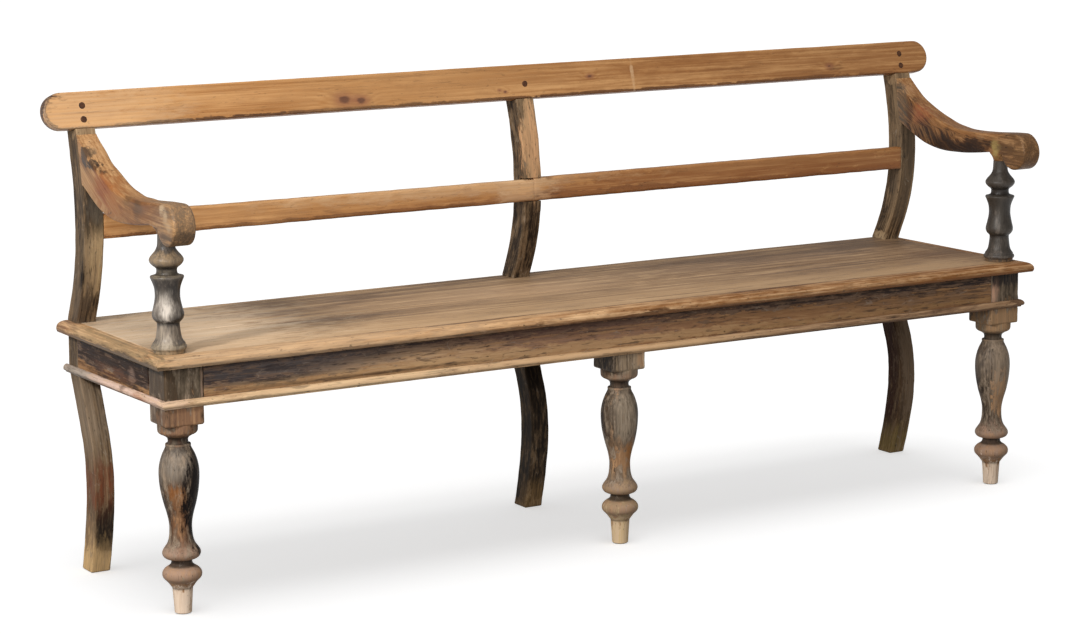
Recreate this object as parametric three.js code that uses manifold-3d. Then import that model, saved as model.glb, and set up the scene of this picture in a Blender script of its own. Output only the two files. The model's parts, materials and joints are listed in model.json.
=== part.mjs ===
// A long deacons bench in worn, stained wood: three turned front legs, three sabre rear
// posts that run on up as the back, a plank top rail with round ends, two middle rails,
// two scrolled arms on turned supports, and a boarded seat with a mitred nosing.
// Millimetres, X along the bench, the front towards -Y, +Z up.

import * as THREE from "three";
import { mergeVertices } from "three/addons/utils/BufferGeometryUtils.js";
import Module from "manifold-3d";

const wasm = await Module();
wasm.setup();

// Whole bench
const frameLength = 1864;
const frameDepth = 441;
const seatHeight = 460;
const backHeight = 880;
const fitGap = 0.3;
const cutOverrun = 10;

// Seat boards and the nosing round their front and ends
const seatThickness = 20;
const seatFrontOverhang = 20;
const seatEndOverhang = 22;
const nosingWidth = 30;
const frontBoardWidth = 204;

// Aprons under the seat and the joints that hold them
const apronHeight = 68;
const apronThickness = 24;
const tenonThickness = 12;
const tenonShoulder = 9;
const tenonCheek = 6;
const legTenonLength = 25;
const postTenonLength = 15;

// Moulding along the bottom edge of the aprons
const mouldingHeight = 15;
const mouldingProjection = 8;

// Cross bearer from the middle leg to the rear apron
const bearerWidth = 30;
const bearerHeight = 50;
const bearerTenonLength = 10;

// Front legs: a square over a turned shaft
const legSquare = 72;
const squareDrop = 36;
const legDiameter = 71;
const legSegments = 24;

// Rear posts, each in one piece from the floor to the top rail
const postThickness = 38;
const postDepth = 45;
const lowerSweep = 61;
const upperSweep = 55;
const postJointHeight = 90;
const postSteps = 18;

// Back rails
const topRailOverhang = 54;
const topRailWidth = 67;
const topRailThickness = 22;
const topRailEndSegments = 16;
const railLean = THREE.MathUtils.degToRad(15);
const middleRailWidth = 46;
const middleRailThickness = 20;
const pegDiameter = 13;
const pegSpacing = 25;
const pegDrop = 5;
const pegDepth = 14;
const pegSides = 16;

// Arms and the turned supports under them
const armWidth = 42;
const armDepth = 70;
const armScrollRadius = 36;
const armTopGap = 5;
const armFrontOverhang = 22;
const armJointHeight = 88;
const armSteps = 9;
const armScrollEnd = THREE.MathUtils.degToRad(345);
const armTenonLength = 18;
const armTenonHeight = 36;
const bossDiameter = 44;
const bossHeight = 16;
const bossLength = 32;
const supportFromEnd = 25;
const supportFromFront = 35;
const supportDiameter = 62;
const supportPin = 20;
const supportPinDepth = 18;
const supportHeadPin = 14;
const supportHeadPinLength = 22;
const supportSegments = 20;

// Planes that the pieces share
const endPlane = frameLength / 2;
const seatUnder = seatHeight - seatThickness;
const apronTop = seatUnder - fitGap;
const apronBottom = seatUnder - apronHeight;
const squareBottom = apronBottom - squareDrop;
const frontPlane = -legSquare / 2;
const legBack = legSquare / 2;
const postBack = frontPlane + frameDepth;
const postFront = postBack - postDepth;
const legCentre = endPlane - legSquare / 2;
const postCentre = endPlane - postThickness / 2;
const seatEnd = endPlane + seatEndOverhang;
const seatFront = frontPlane - seatFrontOverhang;
const supportX = endPlane - supportFromEnd;
const supportY = frontPlane + supportFromFront;
const topRailLength = frameLength + 2 * topRailOverhang;

// Heights in the back, as shares of its height over the seat
const middleRailShare = 0.427;
const armHeightShare = 0.624;
const overSeat = backHeight - seatHeight;
const middleRailHeight = seatHeight + middleRailShare * overSeat;
const armHeight = seatHeight + armHeightShare * overSeat;

// Turned profiles as shares: height along the shaft, then radius
const legProfileShares = [
  [0, 0.43],
  [0.14, 0.515],
  [0.165, 0.72],
  [0.188, 0.92],
  [0.213, 0.975],
  [0.236, 0.86],
  [0.256, 0.6],
  [0.274, 0.51],
  [0.289, 0.55],
  [0.301, 0.84],
  [0.325, 0.95],
  [0.345, 0.86],
  [0.37, 0.69],
  [0.4, 0.6],
  [0.44, 0.56],
  [0.48, 0.57],
  [0.53, 0.66],
  [0.59, 0.82],
  [0.66, 0.95],
  [0.737, 1],
  [0.79, 0.95],
  [0.835, 0.82],
  [0.868, 0.67],
  [0.889, 0.62],
  [0.896, 0.52],
  [0.912, 0.5],
  [0.93, 0.56],
  [0.946, 0.82],
  [0.965, 0.99],
  [1, 1],
];
const supportProfileShares = [
  [0, 1],
  [0.05, 1],
  [0.09, 0.87],
  [0.135, 0.69],
  [0.2, 0.62],
  [0.265, 0.6],
  [0.29, 0.78],
  [0.33, 0.87],
  [0.38, 0.85],
  [0.44, 0.74],
  [0.525, 0.645],
  [0.59, 0.68],
  [0.625, 0.8],
  [0.64, 0.93],
  [0.655, 0.88],
  [0.668, 0.64],
  [0.69, 0.53],
  [0.72, 0.56],
  [0.782, 0.94],
  [0.81, 0.84],
  [0.86, 0.58],
  [0.92, 0.45],
  [1, 0.46],
];
const bossProfileShares = [
  [0, 0.64],
  [0.25, 0.76],
  [0.5, 1],
  [1, 1],
];

// Bow of a rear post towards the front, as shares: height, then sweep
const lowerBowShares = [
  [0, 0.44],
  [0.19, 0.77],
  [0.4, 1],
  [0.61, 0.93],
  [0.83, 0.45],
  [1, 0],
];
const upperBowShares = [
  [0, 0],
  [0.16, 0.58],
  [0.33, 0.93],
  [0.5, 1],
  [0.67, 0.87],
  [0.84, 0.58],
  [1, 0.18],
];

// Arm outline as shares: along its reach, then up its rise, both from the scroll, and for
// the underside how far it lies below the top
const armTopShares = [
  [0.07, -0.01],
  [0.21, -0.055],
  [0.33, -0.077],
  [0.45, -0.058],
  [0.585, 0.054],
  [0.74, 0.3],
  [0.88, 0.6],
];
const armUnderShares = [
  [0.185, -0.047, 0.56],
  [0.315, -0.076, 0.61],
  [0.458, -0.056, 0.69],
  [0.6, 0.07, 0.83],
  [0.73, 0.28, 0.95],
  [0.83, 0.49, 0.99],
];

// Edge sections as shares: outwards from the inner face, then upwards
const mouldingShares = [
  [0, 0],
  [0.35, 0],
  [0.42, 0.2],
  [0.85, 0.3],
  [1, 0.45],
  [0.97, 0.62],
  [0.75, 0.82],
  [0.4, 0.96],
  [0.25, 1],
  [0, 1],
];
const nosingShares = [
  [0, 0],
  [0.9, 0],
  [0.98, 0.14],
  [1, 0.34],
  [0.96, 0.56],
  [0.84, 0.77],
  [0.6, 0.93],
  [0.3, 1],
  [0, 1],
];

// Colours of the finishes
const honeyRail = { color: 0xb98450, roughness: 0.5, metalness: 0 };
const darkPost = { color: 0x5a4a3c, roughness: 0.6, metalness: 0 };
const rubbedLeg = { color: 0x6a5646, roughness: 0.6, metalness: 0 };
const darkApron = { color: 0x4c3d34, roughness: 0.6, metalness: 0 };
const paleMoulding = { color: 0xa88663, roughness: 0.65, metalness: 0 };
const scrubbedSeat = { color: 0xb3946f, roughness: 0.65, metalness: 0 };
const wornNosing = { color: 0xbe925f, roughness: 0.6, metalness: 0 };
const honeyArm = { color: 0xa0744a, roughness: 0.45, metalness: 0 };
const greySupport = { color: 0x6b6155, roughness: 0.5, metalness: 0 };
const darkPeg = { color: 0x6b4526, roughness: 0.6, metalness: 0 };
const rawInner = { color: 0x7d644a, roughness: 0.8, metalness: 0 };

// A closed mesh as a solid: only its places are kept, and shared corners are merged.
function solidOf(geometry) {
  const loose = geometry.index ? geometry.toNonIndexed() : geometry;
  const bare = new THREE.BufferGeometry();
  bare.setAttribute("position", loose.getAttribute("position"));
  const merged = mergeVertices(bare);
  const corners = merged.index.array;
  const kept = [];
  for (let i = 0; i < corners.length; i += 3) {
    const [a, b, c] = [corners[i], corners[i + 1], corners[i + 2]];
    if (a !== b && b !== c && c !== a) {
      kept.push(a, b, c);
    }
  }
  const mesh = new wasm.Mesh({
    numProp: 3,
    vertProperties: merged.attributes.position.array,
    triVerts: new Uint32Array(kept),
  });
  return new wasm.Manifold(mesh);
}

function geometryOf(solid) {
  const mesh = solid.getMesh();
  const geometry = new THREE.BufferGeometry();
  geometry.setAttribute("position", new THREE.BufferAttribute(mesh.vertProperties, 3));
  geometry.setIndex(new THREE.BufferAttribute(mesh.triVerts, 1));
  geometry.computeVertexNormals();
  return geometry;
}

function joined(...solids) {
  return solids.reduce((sum, next) => sum.add(next));
}

function cut(solid, ...cutters) {
  return cutters.reduce((rest, cutter) => rest.subtract(cutter), solid);
}

// A rectangular piece between two planes each way.
function block([x0, x1], [y0, y1], [z0, z1]) {
  const box = new THREE.BoxGeometry(x1 - x0, y1 - y0, z1 - z0);
  box.translate((x0 + x1) / 2, (y0 + y1) / 2, (z0 + z1) / 2);
  return solidOf(box);
}

// An outline of [y, z] points carried along X.
function alongX(outline, x0, x1) {
  const shape = new THREE.Shape(outline.map(([y, z]) => new THREE.Vector2(y, z)));
  const geometry = new THREE.ExtrudeGeometry(shape, { depth: x1 - x0, bevelEnabled: false });
  const turn = new THREE.Matrix4().makeBasis(
    new THREE.Vector3(0, 1, 0),
    new THREE.Vector3(0, 0, 1),
    new THREE.Vector3(1, 0, 0),
  );
  geometry.applyMatrix4(turn);
  geometry.translate(x0, 0, 0);
  return geometry;
}

// A turned piece on a vertical axis from a profile of [height, radius] points.
function turned(profile, segments, [x, y, z]) {
  const first = profile[0];
  const last = profile[profile.length - 1];
  const closed = [[first[0], 0], ...profile, [last[0], 0]];
  const points = closed.map(([height, radius]) => new THREE.Vector2(radius, height));
  const geometry = new THREE.LatheGeometry(points, segments);
  geometry.rotateX(Math.PI / 2);
  geometry.translate(x, y, z);
  return solidOf(geometry);
}

function roundPin(diameter, bottom, top, [x, y], segments) {
  const radius = diameter / 2;
  return turned([[0, radius], [top - bottom, radius]], segments, [x, y, bottom]);
}

// A strip with a constant section, mitred at the ends that are named. It lies along X with
// its outer face towards -Y, its inner face on y = 0 and its longest edge from 0 to length.
function strip(shares, width, height, length, mitreStart, mitreEnd) {
  const section = shares.map(([out, up]) => [-out * width, up * height]);
  const geometry = alongX(section, 0, length);
  const place = geometry.getAttribute("position");
  for (let i = 0; i < place.count; i += 1) {
    const inset = width + place.getY(i);
    const atEnd = place.getX(i) > length / 2;
    if (atEnd && mitreEnd) {
      place.setX(i, length - inset);
    }
    if (!atEnd && mitreStart) {
      place.setX(i, inset);
    }
  }
  return geometry;
}

// The back edge of a rear post, from the floor up, as [y, z] points.
function postEdge() {
  const jointBottom = seatHeight - postJointHeight;
  const lower = new THREE.SplineCurve(
    lowerBowShares.map(([up, bow]) => {
      return new THREE.Vector2(postBack - bow * lowerSweep, up * jointBottom);
    }),
  );
  const upper = new THREE.SplineCurve(
    upperBowShares.map(([up, bow]) => {
      return new THREE.Vector2(postBack - bow * upperSweep, seatHeight + up * overSeat);
    }),
  );
  const points = [...lower.getPoints(postSteps), ...upper.getPoints(postSteps)];
  return points.map((point) => [point.x, point.y]);
}

const backEdge = postEdge();

// The front edge of a rear post at a height, read between the points of its outline.
function postFrontAt(height) {
  const above = backEdge.findIndex(([, z]) => z >= height);
  const upper = above < 1 ? 1 : above;
  const [y0, z0] = backEdge[upper - 1];
  const [y1, z1] = backEdge[upper];
  return y0 + ((height - z0) / (z1 - z0)) * (y1 - y0) - postDepth;
}

const topRailCentre = backHeight - (topRailWidth / 2) * Math.cos(railLean);
const topRailFace = postFrontAt(topRailCentre);
const topRailUnder =
  backHeight - topRailWidth * Math.cos(railLean) - topRailThickness * Math.sin(railLean);
const middleRailBottom = middleRailHeight - middleRailWidth / 2;
const middleRailTop = middleRailHeight + middleRailWidth / 2;
const middleRailFace = postFrontAt(middleRailHeight);

// What is drawn on the top rail's face, x along it and y up its width, leaned back with it.
function ontoRail(geometry) {
  geometry.rotateX(Math.PI / 2 - railLean);
  geometry.translate(0, topRailFace, topRailCentre);
  return solidOf(geometry);
}

// A plank with round ends that leans back with the posts, grown by a gap on every side.
function topRailPlank(gap, forward) {
  const radius = topRailWidth / 2 + gap;
  const straight = topRailLength / 2 - topRailWidth / 2;
  const shape = new THREE.Shape();
  shape.absarc(straight, 0, radius, -Math.PI / 2, Math.PI / 2, false);
  shape.absarc(-straight, 0, radius, Math.PI / 2, (3 * Math.PI) / 2, false);
  const geometry = new THREE.ExtrudeGeometry(shape, {
    depth: topRailThickness + gap + forward,
    bevelEnabled: false,
    curveSegments: topRailEndSegments,
  });
  geometry.translate(0, 0, -topRailThickness - gap);
  return ontoRail(geometry);
}

// The room over the top rail, where the posts are sawn off in line with its top edge.
function overRail() {
  const geometry = new THREE.BoxGeometry(topRailLength, postDepth, postDepth + 2 * cutOverrun);
  geometry.translate(0, (topRailWidth + postDepth) / 2, -postDepth / 2);
  return ontoRail(geometry);
}

// A peg square to the top rail's face, up its width by rise. Its hole is grown by a gap all
// round and runs out through the face.
function railPeg(x, rise, gap, proud) {
  const radius = pegDiameter / 2 + gap;
  const length = proud + topRailThickness + pegDepth + gap;
  const geometry = new THREE.CylinderGeometry(radius, radius, length, pegSides);
  geometry.rotateX(Math.PI / 2);
  geometry.translate(x, rise, proud - length / 2);
  return ontoRail(geometry);
}

const lowerPeg = -pegDrop - pegSpacing / 2;
const upperPeg = -pegDrop + pegSpacing / 2;
const pegPlaces = {
  left_lower: [-postCentre, lowerPeg],
  left_upper: [-postCentre, upperPeg],
  middle: [0, -pegDrop],
  right_lower: [postCentre, lowerPeg],
  right_upper: [postCentre, upperPeg],
};

// Front legs. The squares of the outer two take the apron tenons, and the top of the
// middle one is notched for the front apron that runs across it.
function frontLegBody(x) {
  const shaft = turned(
    legProfileShares.map(([up, out]) => [up * squareBottom, (out * legDiameter) / 2]),
    legSegments,
    [x, 0, 0],
  );
  const half = legSquare / 2;
  const square = block([x - half, x + half], [frontPlane, legBack], [squareBottom, apronTop]);
  return joined(shaft, square);
}

function cornerLeg(side) {
  const x = side * legCentre;
  return cut(
    frontLegBody(x),
    frontApronTenon(side, fitGap),
    sideApronTenon(side, fitGap),
    supportFoot(side, fitGap),
  );
}

function middleLeg() {
  const half = legSquare / 2;
  const notch = block(
    [-half - cutOverrun, half + cutOverrun],
    [frontPlane - cutOverrun, frontPlane + apronThickness + fitGap],
    [apronBottom - fitGap, seatHeight],
  );
  return cut(frontLegBody(0), notch, bearerTenons(fitGap));
}

// Aprons
function frontApronTenon(side, gap) {
  const shoulder = endPlane - legSquare;
  const x0 = shoulder - cutOverrun;
  const x1 = shoulder + legTenonLength + gap;
  return block(
    side < 0 ? [-x1, -x0] : [x0, x1],
    [frontPlane + tenonCheek - gap, frontPlane + tenonCheek + tenonThickness + gap],
    [apronBottom + tenonShoulder - gap, apronTop - tenonShoulder + gap],
  );
}

function frontApron() {
  const shoulder = endPlane - legSquare - fitGap;
  const board = block(
    [-shoulder, shoulder],
    [frontPlane, frontPlane + apronThickness],
    [apronBottom, apronTop],
  );
  return joined(board, frontApronTenon(-1, 0), frontApronTenon(1, 0));
}

function sideApronTenon(side, gap) {
  const outer = endPlane - tenonCheek + gap;
  const inner = endPlane - tenonCheek - tenonThickness - gap;
  return block(
    side < 0 ? [-outer, -inner] : [inner, outer],
    [legBack - legTenonLength - gap, postFront + postTenonLength + gap],
    [apronBottom + tenonShoulder - gap, apronTop - tenonShoulder + gap],
  );
}

function sideApron(side) {
  const board = block(
    side < 0 ? [-endPlane, -endPlane + apronThickness] : [endPlane - apronThickness, endPlane],
    [legBack + fitGap, postFront - fitGap],
    [apronBottom, apronTop],
  );
  return joined(board, sideApronTenon(side, 0));
}

function rearApronTenons(gap) {
  const reach = endPlane - postThickness + postTenonLength + gap;
  return block(
    [-reach, reach],
    [postFront + tenonCheek - gap, postFront + tenonCheek + tenonThickness + gap],
    [apronBottom + tenonShoulder - gap, apronTop - tenonShoulder + gap],
  );
}

function rearApron() {
  const shoulder = endPlane - postThickness - fitGap;
  const board = block(
    [-shoulder, shoulder],
    [postFront, postFront + apronThickness],
    [apronBottom, apronTop],
  );
  return cut(joined(board, rearApronTenons(0)), bearerTenons(fitGap));
}

// Cross bearer under the seat, tenoned into the middle leg and the rear apron
function bearerTenons(gap) {
  const half = tenonThickness / 2 + gap;
  return block(
    [-half, half],
    [legBack - bearerTenonLength - gap, postFront + bearerTenonLength + gap],
    [apronTop - bearerHeight + tenonShoulder - gap, apronTop - tenonShoulder + gap],
  );
}

function crossBearer() {
  const half = bearerWidth / 2;
  const bar = block(
    [-half, half],
    [legBack + fitGap, postFront - fitGap],
    [apronTop - bearerHeight, apronTop],
  );
  return joined(bar, bearerTenons(0));
}

// Moulding strips, mitred at the front corners
function frontMoulding() {
  const length = frameLength + 2 * (mouldingProjection + fitGap);
  const geometry = strip(mouldingShares, mouldingProjection, mouldingHeight, length, true, true);
  geometry.translate(-length / 2, frontPlane - fitGap, apronBottom);
  return geometry;
}

function endMoulding(side) {
  const length = frameDepth + 2 * mouldingProjection;
  const geometry = strip(mouldingShares, mouldingProjection, mouldingHeight, length, side > 0, side < 0);
  const front = frontPlane - mouldingProjection;
  const start = side > 0 ? front : front + length;
  geometry.rotateZ((side * Math.PI) / 2);
  geometry.translate(side * (endPlane + fitGap), start, apronBottom);
  return geometry;
}

// Rear posts
function postBody(x) {
  const front = [...backEdge].reverse().map(([y, z]) => [y - postDepth, z]);
  const half = postThickness / 2;
  return cut(solidOf(alongX([...backEdge, ...front], x - half, x + half)), overRail());
}

function railPegHoles() {
  const holes = Object.values(pegPlaces).map(([x, rise]) => railPeg(x, rise, fitGap, cutOverrun));
  return joined(...holes);
}

function endPost(side) {
  return cut(
    postBody(side * postCentre),
    topRailPlank(fitGap, postDepth),
    railPegHoles(),
    middleRailTenon(side, fitGap),
    sideApronTenon(side, fitGap),
    rearApronTenons(fitGap),
    armTenon(side, fitGap),
  );
}

function middlePost() {
  const half = postThickness / 2 + cutOverrun;
  const railNotch = block(
    [-half, half],
    [middleRailFace - postDepth, middleRailFace + middleRailThickness + fitGap],
    [middleRailBottom - fitGap, middleRailTop + fitGap],
  );
  const apronNotch = block(
    [-half, half],
    [postFront - cutOverrun, postFront + apronThickness + fitGap],
    [apronBottom - fitGap, apronTop + fitGap],
  );
  return cut(postBody(0), topRailPlank(fitGap, postDepth), railPegHoles(), railNotch, apronNotch);
}

// Back rails
function topRail() {
  return cut(topRailPlank(0, 0), railPegHoles());
}

function middleRailTenon(side, gap) {
  const shoulder = endPlane - postThickness;
  const x0 = shoulder - cutOverrun;
  const x1 = shoulder + postTenonLength + gap;
  const middle = middleRailFace + middleRailThickness / 2;
  return block(
    side < 0 ? [-x1, -x0] : [x0, x1],
    [middle - tenonThickness / 2 - gap, middle + tenonThickness / 2 + gap],
    [middleRailBottom + tenonShoulder - gap, middleRailTop - tenonShoulder + gap],
  );
}

function middleRail(side) {
  const shoulder = endPlane - postThickness - fitGap;
  const near = fitGap / 2;
  const board = block(
    side < 0 ? [-shoulder, -near] : [near, shoulder],
    [middleRailFace, middleRailFace + middleRailThickness],
    [middleRailBottom, middleRailTop],
  );
  return joined(board, middleRailTenon(side, 0));
}

// Arms: an outline cut from a plank, its back scribed to the post's front, with a scroll
// at the front end and a short round boss over the support.
const armScrollY = frontPlane - armFrontOverhang;
const armTopEnd = topRailUnder - armTopGap;
const armRise = armTopEnd - armHeight;
const armReach = postFrontAt(armTopEnd) - armScrollY;

function armOutline() {
  const point = ([along, up, down = 0]) => {
    const height = armHeight + up * armRise - down * armDepth;
    return new THREE.Vector2(armScrollY + along * armReach, height);
  };
  const back = [];
  for (let step = 0; step <= armSteps; step += 1) {
    const z = armTopEnd - (1 - step / armSteps) * armJointHeight;
    back.push([postFrontAt(z) - fitGap, z]);
  }
  const topStart = new THREE.Vector2(back[armSteps][0], back[armSteps][1]);
  const scrollTop = new THREE.Vector2(armScrollY, armHeight);
  const top = new THREE.SplineCurve([scrollTop, ...armTopShares.map(point), topStart]);
  const underEnd = new THREE.Vector2(back[0][0], back[0][1]);
  const scroll = new THREE.EllipseCurve(
    armScrollY,
    armHeight - armScrollRadius,
    armScrollRadius,
    armScrollRadius,
    Math.PI / 2,
    armScrollEnd,
    false,
  );
  const under = new THREE.SplineCurve([...armUnderShares.map(point), underEnd]);
  const front = scroll.getPoints(armSteps * 2).slice(1);
  const below = under.getPoints(armSteps * 2).slice(0, -1);
  const above = top.getPoints(armSteps * 2).reverse().slice(1);
  const flat = (points) => points.map((place) => [place.x, place.y]);
  return [...flat(below), ...back, ...flat(above), ...flat(front)];
}

const armUnderside = armHeight + armUnderShares[0][1] * armRise - armUnderShares[0][2] * armDepth;
const supportTop = armUnderside - bossHeight;

function armTenon(side, gap) {
  const middle = armTopEnd - armJointHeight / 2;
  const front = postFrontAt(middle);
  const half = tenonThickness / 2 + gap;
  const x = side * postCentre;
  return block(
    [x - half, x + half],
    [front - cutOverrun, front + armTenonLength + gap],
    [middle - armTenonHeight / 2 - gap, middle + armTenonHeight / 2 + gap],
  );
}

// The boss under the arm flares out to the arm's faces and no further.
function armBoss(side, [x0, x1]) {
  const flare = turned(
    bossProfileShares.map(([up, out]) => [up * bossLength, (out * bossDiameter) / 2]),
    supportSegments,
    [side * supportX, supportY, supportTop],
  );
  const slab = block(
    [x0, x1],
    [supportY - bossDiameter, supportY + bossDiameter],
    [supportTop - bossHeight, supportTop + bossLength],
  );
  return flare.intersect(slab);
}

function arm(side) {
  const faces = side < 0 ? [-endPlane, -endPlane + armWidth] : [endPlane - armWidth, endPlane];
  const plank = solidOf(alongX(armOutline(), ...faces));
  return cut(joined(plank, armTenon(side, 0), armBoss(side, faces)), supportHead(side, fitGap));
}

// Turned supports with a pin at each end
function supportFoot(side, gap) {
  const bottom = seatHeight - seatThickness - supportPinDepth - gap;
  const place = [side * supportX, supportY];
  return roundPin(supportPin + 2 * gap, bottom, seatHeight + cutOverrun, place, supportSegments);
}

function supportHead(side, gap) {
  const bottom = supportTop - cutOverrun;
  const top = supportTop + supportHeadPinLength + gap;
  const place = [side * supportX, supportY];
  return roundPin(supportHeadPin + 2 * gap, bottom, top, place, supportSegments);
}

function armSupport(side) {
  const height = supportTop - fitGap - seatHeight - fitGap;
  const shaft = turned(
    supportProfileShares.map(([up, out]) => [up * height, (out * supportDiameter) / 2]),
    supportSegments,
    [side * supportX, supportY, seatHeight + fitGap],
  );
  return joined(shaft, supportFoot(side, 0), supportHead(side, 0));
}

// Seat: two long boards and the nosing strips, all notched round the rear posts
function postNotches() {
  const places = [-postCentre, 0, postCentre];
  const half = postThickness / 2 + fitGap;
  const notches = places.map((x) => {
    return block(
      [x - half, x + half],
      [postFront - fitGap, postBack + cutOverrun],
      [seatUnder - cutOverrun, seatHeight + cutOverrun],
    );
  });
  return joined(...notches);
}

const boardFront = seatFront + nosingWidth;
const boardEnd = seatEnd - nosingWidth;
const boardJoint = boardFront + frontBoardWidth;

function frontBoard() {
  const board = block(
    [-boardEnd + fitGap, boardEnd - fitGap],
    [boardFront + fitGap, boardJoint - fitGap / 2],
    [seatUnder, seatHeight],
  );
  return cut(board, supportFoot(-1, fitGap), supportFoot(1, fitGap));
}

function rearBoard() {
  const board = block(
    [-boardEnd + fitGap, boardEnd - fitGap],
    [boardJoint + fitGap / 2, postBack],
    [seatUnder, seatHeight],
  );
  return cut(board, postNotches());
}

function frontNosing() {
  const length = 2 * (seatEnd - fitGap);
  const geometry = strip(nosingShares, nosingWidth, seatThickness, length, true, true);
  geometry.translate(-length / 2, boardFront, seatUnder);
  return geometry;
}

function endNosing(side) {
  const length = postBack - seatFront - fitGap;
  const geometry = strip(nosingShares, nosingWidth, seatThickness, length, side > 0, side < 0);
  const start = side > 0 ? seatFront + fitGap : postBack;
  geometry.rotateZ((side * Math.PI) / 2);
  geometry.translate(side * boardEnd, start, seatUnder);
  return cut(solidOf(geometry), postNotches());
}

const bench = new THREE.Group();

function place(name, shape, finish) {
  const geometry = shape.isBufferGeometry ? shape : geometryOf(shape);
  const mesh = new THREE.Mesh(geometry, new THREE.MeshStandardMaterial(finish));
  mesh.name = name;
  bench.add(mesh);
}

place("front_leg_left", cornerLeg(-1), rubbedLeg);
place("front_leg_middle", middleLeg(), rubbedLeg);
place("front_leg_right", cornerLeg(1), rubbedLeg);
place("rear_post_left", endPost(-1), darkPost);
place("rear_post_middle", middlePost(), darkPost);
place("rear_post_right", endPost(1), darkPost);
place("front_apron", frontApron(), darkApron);
place("side_apron_left", sideApron(-1), darkApron);
place("side_apron_right", sideApron(1), darkApron);
place("rear_apron", rearApron(), rawInner);
place("cross_bearer", crossBearer(), rawInner);
place("front_moulding", frontMoulding(), paleMoulding);
place("end_moulding_left", endMoulding(-1), paleMoulding);
place("end_moulding_right", endMoulding(1), paleMoulding);
place("seat_board_front", frontBoard(), scrubbedSeat);
place("seat_board_rear", rearBoard(), scrubbedSeat);
place("seat_nosing_front", frontNosing(), wornNosing);
place("seat_nosing_left", endNosing(-1), wornNosing);
place("seat_nosing_right", endNosing(1), wornNosing);
place("top_rail", topRail(), honeyRail);
for (const [where, [x, rise]] of Object.entries(pegPlaces)) {
  place("top_rail_peg_" + where, railPeg(x, rise, 0, 0), darkPeg);
}
place("middle_rail_left", middleRail(-1), honeyRail);
place("middle_rail_right", middleRail(1), honeyRail);
place("arm_left", arm(-1), honeyArm);
place("arm_right", arm(1), honeyArm);
place("arm_support_left", armSupport(-1), greySupport);
place("arm_support_right", armSupport(1), greySupport);

// The origin is the middle of the footprint, on the floor.
const reach = new THREE.Box3().setFromObject(bench);
bench.position.set(-(reach.min.x + reach.max.x) / 2, -(reach.min.y + reach.max.y) / 2, -reach.min.z);

export default bench;
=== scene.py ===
import json
import math

import bmesh
import bpy
import numpy as np
from bpy.props import FloatProperty, FloatVectorProperty, IntProperty, PointerProperty
from bpy.types import Operator, Panel, PropertyGroup
from mathutils import Matrix, Vector

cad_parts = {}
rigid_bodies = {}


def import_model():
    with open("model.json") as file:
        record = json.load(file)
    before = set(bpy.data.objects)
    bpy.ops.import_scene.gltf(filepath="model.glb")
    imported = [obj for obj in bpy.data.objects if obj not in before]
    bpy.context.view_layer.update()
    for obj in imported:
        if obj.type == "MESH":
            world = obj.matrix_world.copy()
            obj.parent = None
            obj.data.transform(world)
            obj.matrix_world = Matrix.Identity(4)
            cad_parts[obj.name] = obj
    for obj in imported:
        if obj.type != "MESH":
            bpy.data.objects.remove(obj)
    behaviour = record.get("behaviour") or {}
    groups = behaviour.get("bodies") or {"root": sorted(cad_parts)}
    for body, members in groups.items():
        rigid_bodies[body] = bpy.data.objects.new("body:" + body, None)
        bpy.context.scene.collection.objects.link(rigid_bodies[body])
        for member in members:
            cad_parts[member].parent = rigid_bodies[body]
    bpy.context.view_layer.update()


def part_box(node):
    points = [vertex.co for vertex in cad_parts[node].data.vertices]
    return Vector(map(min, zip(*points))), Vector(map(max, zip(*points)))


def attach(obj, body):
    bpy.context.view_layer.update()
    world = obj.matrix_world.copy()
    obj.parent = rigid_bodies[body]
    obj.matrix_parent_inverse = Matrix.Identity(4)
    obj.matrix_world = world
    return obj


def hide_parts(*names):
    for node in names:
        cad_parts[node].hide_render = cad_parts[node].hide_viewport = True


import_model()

bl_info = {
    "name": "Deacons Bench",
    "version": (1, 0, 0),
    "blender": (4, 5, 0),
    "location": "3D View > Sidebar > Bench",
    "description": "Dresses the fixed frame of a long, worn deacons bench in turned and sawn wood",
    "category": "Object",
}

MM = 0.001
BODY = "root"
SIDES = (("left", -1), ("right", 1))


def corners(node):
    """A CAD node's lowest and highest corner as two rows, in metres."""
    return np.array(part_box(node), float)


def linear(code):
    """An sRGB hex colour as linear red, green and blue: each channel over 1.055 to the 2.4,
    and the foot of the curve as a straight line."""
    value = np.array([int(code[i : i + 2], 16) for i in (1, 3, 5)]) / 255
    return tuple(np.where(value <= 0.04045, value / 12.92, ((value + 0.055) / 1.055) ** 2.4))


# Where the frame's pieces stand, read from the CAD nodes
LEG = corners("front_leg_left")
POST = corners("rear_post_left")
LEG_HALF = (LEG[1, 0] - LEG[0, 0]) / 2
LEG_X = -(LEG[0, 0] + LEG[1, 0]) / 2
LEG_Y = (LEG[0, 1] + LEG[1, 1]) / 2
FRONT = LEG[0, 1]
LEG_BACK = LEG[1, 1]
BACK = FRONT + 441 * MM
POST_HALF = (POST[1, 0] - POST[0, 0]) / 2
POST_X = -(POST[0, 0] + POST[1, 0]) / 2
POST_DEPTH = 45 * MM
END = LEG_X + LEG_HALF
SEAT = corners("seat_board_front")[1, 2]
SEAT_UNDER = corners("seat_board_front")[0, 2]
APRON = corners("front_apron")
APRON_TOP = APRON[1, 2]
APRON_BOTTOM = APRON[0, 2]
APRON_THICK = 24 * MM
BEARER_HALF = 15 * MM
BEARER_DEPTH = 50 * MM
SQUARE_BOTTOM = APRON_BOTTOM - 36 * MM
POST_FRONT = BACK - POST_DEPTH
SEAT_END = END + 22 * MM
SEAT_FRONT = FRONT - 20 * MM
NOSING = 30 * MM
FRONT_BOARD = 204 * MM
BOARD_ARRIS = 0.9 * MM
TOP = 880 * MM
LEAN = math.radians(15)
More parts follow.
